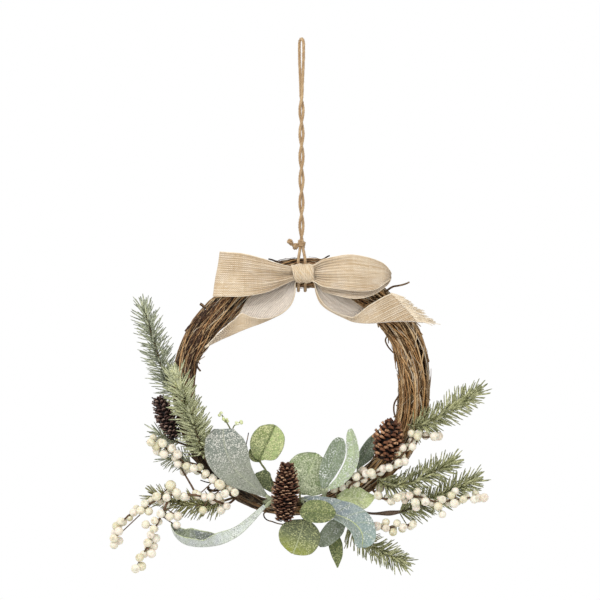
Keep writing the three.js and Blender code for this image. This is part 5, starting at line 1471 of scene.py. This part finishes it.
def berry_spray(name, stems, berries, rng, looks):
    """Berries on short stalks. Some lie just before the nearest stem, and others hide behind it."""
    shape = Shape()
    lines = [smooth(points, 1.2) for points, _ in stems]
    for line in lines:
        thick = BERRY_STEM_RADIUS * (1.15 - 0.45 * np.linspace(0, 1, len(line)))
        tube(shape, line, thick, 7, 0.3, 1, shift=9 * rng.random())
    everywhere = np.concatenate(lines)
    centres, radii = [], []
    for x, y, *size in berries:
        radius = size[0] if size else rng.uniform(*BERRY_RADII)
        flat = np.hypot(everywhere[:, 0] - x, everywhere[:, 1] - y)
        reach = radius + BERRY_STEM_RADIUS
        ahead = math.sqrt(max(reach**2 - flat.min() ** 2, 0)) if flat.min() < reach else 1.5
        centres.append([x, y, everywhere[flat.argmin(), 2] + ahead])
        radii.append(radius)
    for line, (_, bare) in zip(lines, stems):
        far = distances(line)
        for place in np.arange(bare * far[-1], far[-1], HIDDEN_SPACING):
            k = min(int(np.searchsorted(far, place)), len(line) - 1)
            radius = rng.uniform(*BERRY_RADII) * HIDDEN_SHARE
            sideways = rng.uniform(-0.8, 0.8)
            step = np.array([0, math.sin(sideways), -math.cos(sideways)])
            centres.append(line[k] + (radius + BERRY_STEM_RADIUS) * step)
            radii.append(radius)
    for centre, radius in zip(settle(np.array(centres), np.array(radii)), radii):
        far = np.linalg.norm(everywhere - centre, axis=1)
        k = int(far.argmin())
        root = everywhere[max(k - 2, 0)]
        axis = unit(unit(centre - root) + rng.normal(0, 0.35, 3))
        if far[k] > radius:
            middle = (root + centre) / 2 + rng.normal(0, 0.3, 3)
            tube(shape, smooth([root, middle, centre], 1.0), BERRY_STALK_RADIUS, 5, 0.3, 1)
        ball(shape, centre, radius, axis, rings=11, sides=16, dent=0.09, tone=rng.random())
    piece_of(shape, name + "_berries", looks, "berries", name)
    return shape


berry_looks = [berry_look(), stem_look("berry_stem", (64, 46, 34), (120, 92, 66))]
rng = np.random.default_rng(9)
berry_shapes = [
    berry_spray(name, **spray, rng=rng, looks=berry_looks) for name, spray in BERRY_SPRAYS.items()
]

# Fir sprays

# Each spray's stem, from inside the ring to its tip, where its needles start along it, their length and
# half-width, and its looks
FIR_SPRAYS = {
    "fir_spray_left_top": (
        [[-113, -28, -2], [-122, -16, -13], [-134, 3, -10], [-143, 26, -4], [-151, 52, 1], [-158.6, 78, 4]],
        0.24, 21.5, 0.9, "left",
    ),
    "fir_spray_left_front": (
        [[-96, -77, -1], [-99, -66, 10], [-104, -52, 18], [-109, -36, 24], [-117, -15, 28.5],
         [-123, 0, 30], [-126.6, 9, 30]],
        0.14, 24, 1.25, "front",
    ),
    "fir_spray_left_low": (
        [[-106, -61, -2], [-119, -57, -5], [-133, -51.4, -5], [-144, -46, -3]], 0.45, 20, 0.8, "left",
    ),
    "fir_spray_left_under": (
        [[-94, -80, -2], [-111, -76, -7], [-124, -72, -8], [-135, -71, -6]], 0.45, 17, 0.8, "left",
    ),
    "fir_spray_lower_left": (
        [[-62, -107, -2], [-76, -112.4, -4], [-96, -117, 1], [-120, -116, 5], [-138, -111, 6],
         [-147, -108, 8]],
        0.2, 19, 0.9, "low",
    ),
    "fir_spray_right_top": (
        [[104, -37, 8], [113, -38, 14.5], [129, -31.6, 17.5], [152, -17.6, 16], [171, -5.6, 11]],
        0.06, 20.5, 1.0, "right",
    ),
    "fir_spray_right_middle": (
        [[72, -88, 9], [86, -97, 14], [107, -94.6, 14.6], [128, -85, 12], [147, -75, 8]],
        0.04, 21, 1.0, "right",
    ),
    "fir_spray_right_low": (
        [[44, -105, -6], [60, -124, -8], [82, -126, -4], [103, -123, -1], [129, -113, 0],
         [152, -101, 2], [170, -92.6, 4]],
        0.43, 20.5, 1.0, "bare",
    ),
    "fir_spray_bottom": (
        [[32, -110, -4], [38, -128, -4.5], [49, -145, -2], [66, -157, 1.5], [84, -166, 4], [99, -173.6, 6]],
        0.34, 19.5, 0.95, "right",
    ),
}
FIR_STEM_RADIUS = 1.2
NEEDLES_PER_MM = 3.0
NEEDLE_LEAN = math.radians(60)
NEEDLE_FLATNESS = 0.62
NEEDLE_BACK = -20.0  # the depth behind which no needle reaches
# Along a needle: the share of its length, and of its width there
NEEDLE_STATIONS = np.array([[0, 0.6], [0.25, 1], [0.7, 0.95], [0.93, 0.7], [1, 0.3]])
SHORTEST_NEEDLE = 0.3  # as a share of the spray's needle length
NEEDLE_GAP = 0.6  # between a needle's tip and what it would meet
NEEDLE_ROOT = 1.6  # the part that isn't held back
# The bulge on one bare stem: on which spray, where along x, how high and how long
BULGED_SPRAY, BULGE_X, BULGE_HEIGHT, BULGE_LENGTH = "fir_spray_right_low", 87, 1.6, 10


def clear_reach(root, heading, reach, trees):
    """How long a needle may grow before it meets a leaf or a berry."""
    for tree in trees:
        gap = tree.ray_cast(Vector(root), Vector(heading), reach + 1)[3]
        if gap is not None:
            reach = min(reach, gap - NEEDLE_GAP)
    return reach


def needle(shape, rng, number, root, heading, aside, out, reach, half_width):
    """A flattened needle that bends a little aside. Out is the way from the stem to its root."""
    s, wide = NEEDLE_STATIONS.T[..., None, None]
    flat = unit(np.cross(heading, out))
    edge = NEEDLE_FLATNESS * np.cross(heading, flat)
    bend = rng.uniform(-0.02, 0.1) * reach
    middle = root + heading * reach * s + aside * bend * s * s
    rings = middle + np.array([flat, edge, -flat, -edge]) * half_width * wide
    grain = stacked(np.zeros(4), float(number), s[:, 0])
    shape.add(rings, closed_faces(len(rings), 4), rng.random(), grain)


def fir_spray(name, points, bare, length, half_width, looks, rng, trees):
    """Needles on a spiral round a stem. They lean forward, more so at its tip."""
    shape = Shape()
    line = smooth(points, 1.0)
    far = distances(line)
    along, side, across = frames(line)
    thick = FIR_STEM_RADIUS * (1.15 - 0.6 * np.linspace(0, 1, len(line)))
    if name == BULGED_SPRAY:
        thick += BULGE_HEIGHT * np.exp(-(((line[:, 0] - BULGE_X) / BULGE_LENGTH) ** 2))
    tube(shape, line, thick, 7, 0.3, 1, shift=8 * rng.random())
    count = int(NEEDLES_PER_MM * (1 - bare) * far[-1])
    for n in range(count):
        leafy = (n + rng.random()) / count
        k = min(int(np.searchsorted(far, (bare + (1 - bare) * leafy) * far[-1])), len(line) - 1)
        out = around(side[k], across[k], n * SPIRAL_TURN + rng.normal(0, 0.25))
        lean = NEEDLE_LEAN * (1 - 0.5 * eased(leafy, 0.78, 1)) + rng.normal(0, 0.12)
        heading = around(along[k], out, lean)
        root = line[k] + 0.5 * FIR_STEM_RADIUS * out
        reach = length * rng.uniform(0.72, 1.04) * (1 - 0.12 * leafy) - NEEDLE_ROOT
        reach = clear_reach(root + heading * NEEDLE_ROOT, heading, reach, trees) + NEEDLE_ROOT
        if heading[2] < -0.05:
            reach = min(reach, (root[2] - NEEDLE_BACK) / -heading[2])
        if reach >= SHORTEST_NEEDLE * length:
            needle(shape, rng, n, root, heading, along[k] - out * 0.4, out, reach, half_width)
    piece_of(shape, name + "_needles", looks, "fir", name)


fir_stem = stem_look("fir_stem", (84, 66, 46), (138, 116, 82))
bare_stem = stem_look("bare_fir_stem", (72, 58, 50), (126, 106, 90))
pale_stem = stem_look("pale_fir_stem", (150, 146, 108), (196, 192, 148))
left_fir = fir_look("fir", (92, 98, 78), (168, 174, 146), (228, 232, 210), 0.62)
front_fir = fir_look("fir_front", (110, 114, 82), (188, 192, 146), (236, 238, 202), 0.7)
low_fir = fir_look("fir_low", (86, 84, 56), (164, 162, 108), (230, 228, 178))
right_fir = fir_look("fir_right", (98, 102, 68), (170, 172, 122), (226, 226, 184), 0.55)
FIR_LOOKS = {
    "left": [left_fir, fir_stem], "front": [front_fir, fir_stem], "low": [low_fir, fir_stem],
    "right": [right_fir, pale_stem], "bare": [right_fir, bare_stem],
}

rng = np.random.default_rng(10)
guards = [shape.tree() for shape in leaf_shapes + berry_shapes]
for name, (points, bare, length, half_width, looks) in FIR_SPRAYS.items():
    fir_spray(name, points, bare, length, half_width, FIR_LOOKS[looks], rng, guards)

# The stage, in metres and watts: a pale floor below the picture, a white studio and soft lamps

floor_mesh = bpy.data.meshes.new("floor")
FLOOR_HALF, FLOOR_HEIGHT = 1.6, -0.72
floor_mesh.from_pydata(
    [(x * FLOOR_HALF, y * FLOOR_HALF, FLOOR_HEIGHT) for x, y in ((-1, -1), (1, -1), (1, 1), (-1, 1))],
    [], [(0, 1, 2, 3)],
)
floor = bpy.data.objects.new("floor", floor_mesh)
bpy.context.scene.collection.objects.link(floor)
floor_look = Look("floor", roughness=0.9)
floor_look.shader.inputs["Base Color"].default_value = (0.8, 0.8, 0.8, 1)
floor_mesh.materials.append(floor_look.material)

world = bpy.data.worlds.new("studio")
world.use_nodes = True
world.node_tree.nodes["Background"].inputs["Color"].default_value = (1, 1, 1, 1)
world.node_tree.nodes["Background"].inputs["Strength"].default_value = 1.0
bpy.context.scene.world = world
bpy.context.scene.view_settings.view_transform = "Standard"


def lamp(name, place, size, power):
    """A soft square lamp that faces the wreath's middle."""
    light = bpy.data.lights.new(name, "AREA")
    light.shape = "SQUARE"
    light.size = size
    light.energy = power
    obj = bpy.data.objects.new(name, light)
    obj.location = place
    obj.rotation_euler = (Vector(VIEW_MIDDLE) - obj.location).to_track_quat("-Z", "Y").to_euler()
    bpy.context.scene.collection.objects.link(obj)


lamp("key", place=(-1.1, -1.6, 1.0), size=0.9, power=26)
lamp("fill", place=(1.3, -1.8, 0.2), size=1.4, power=9)
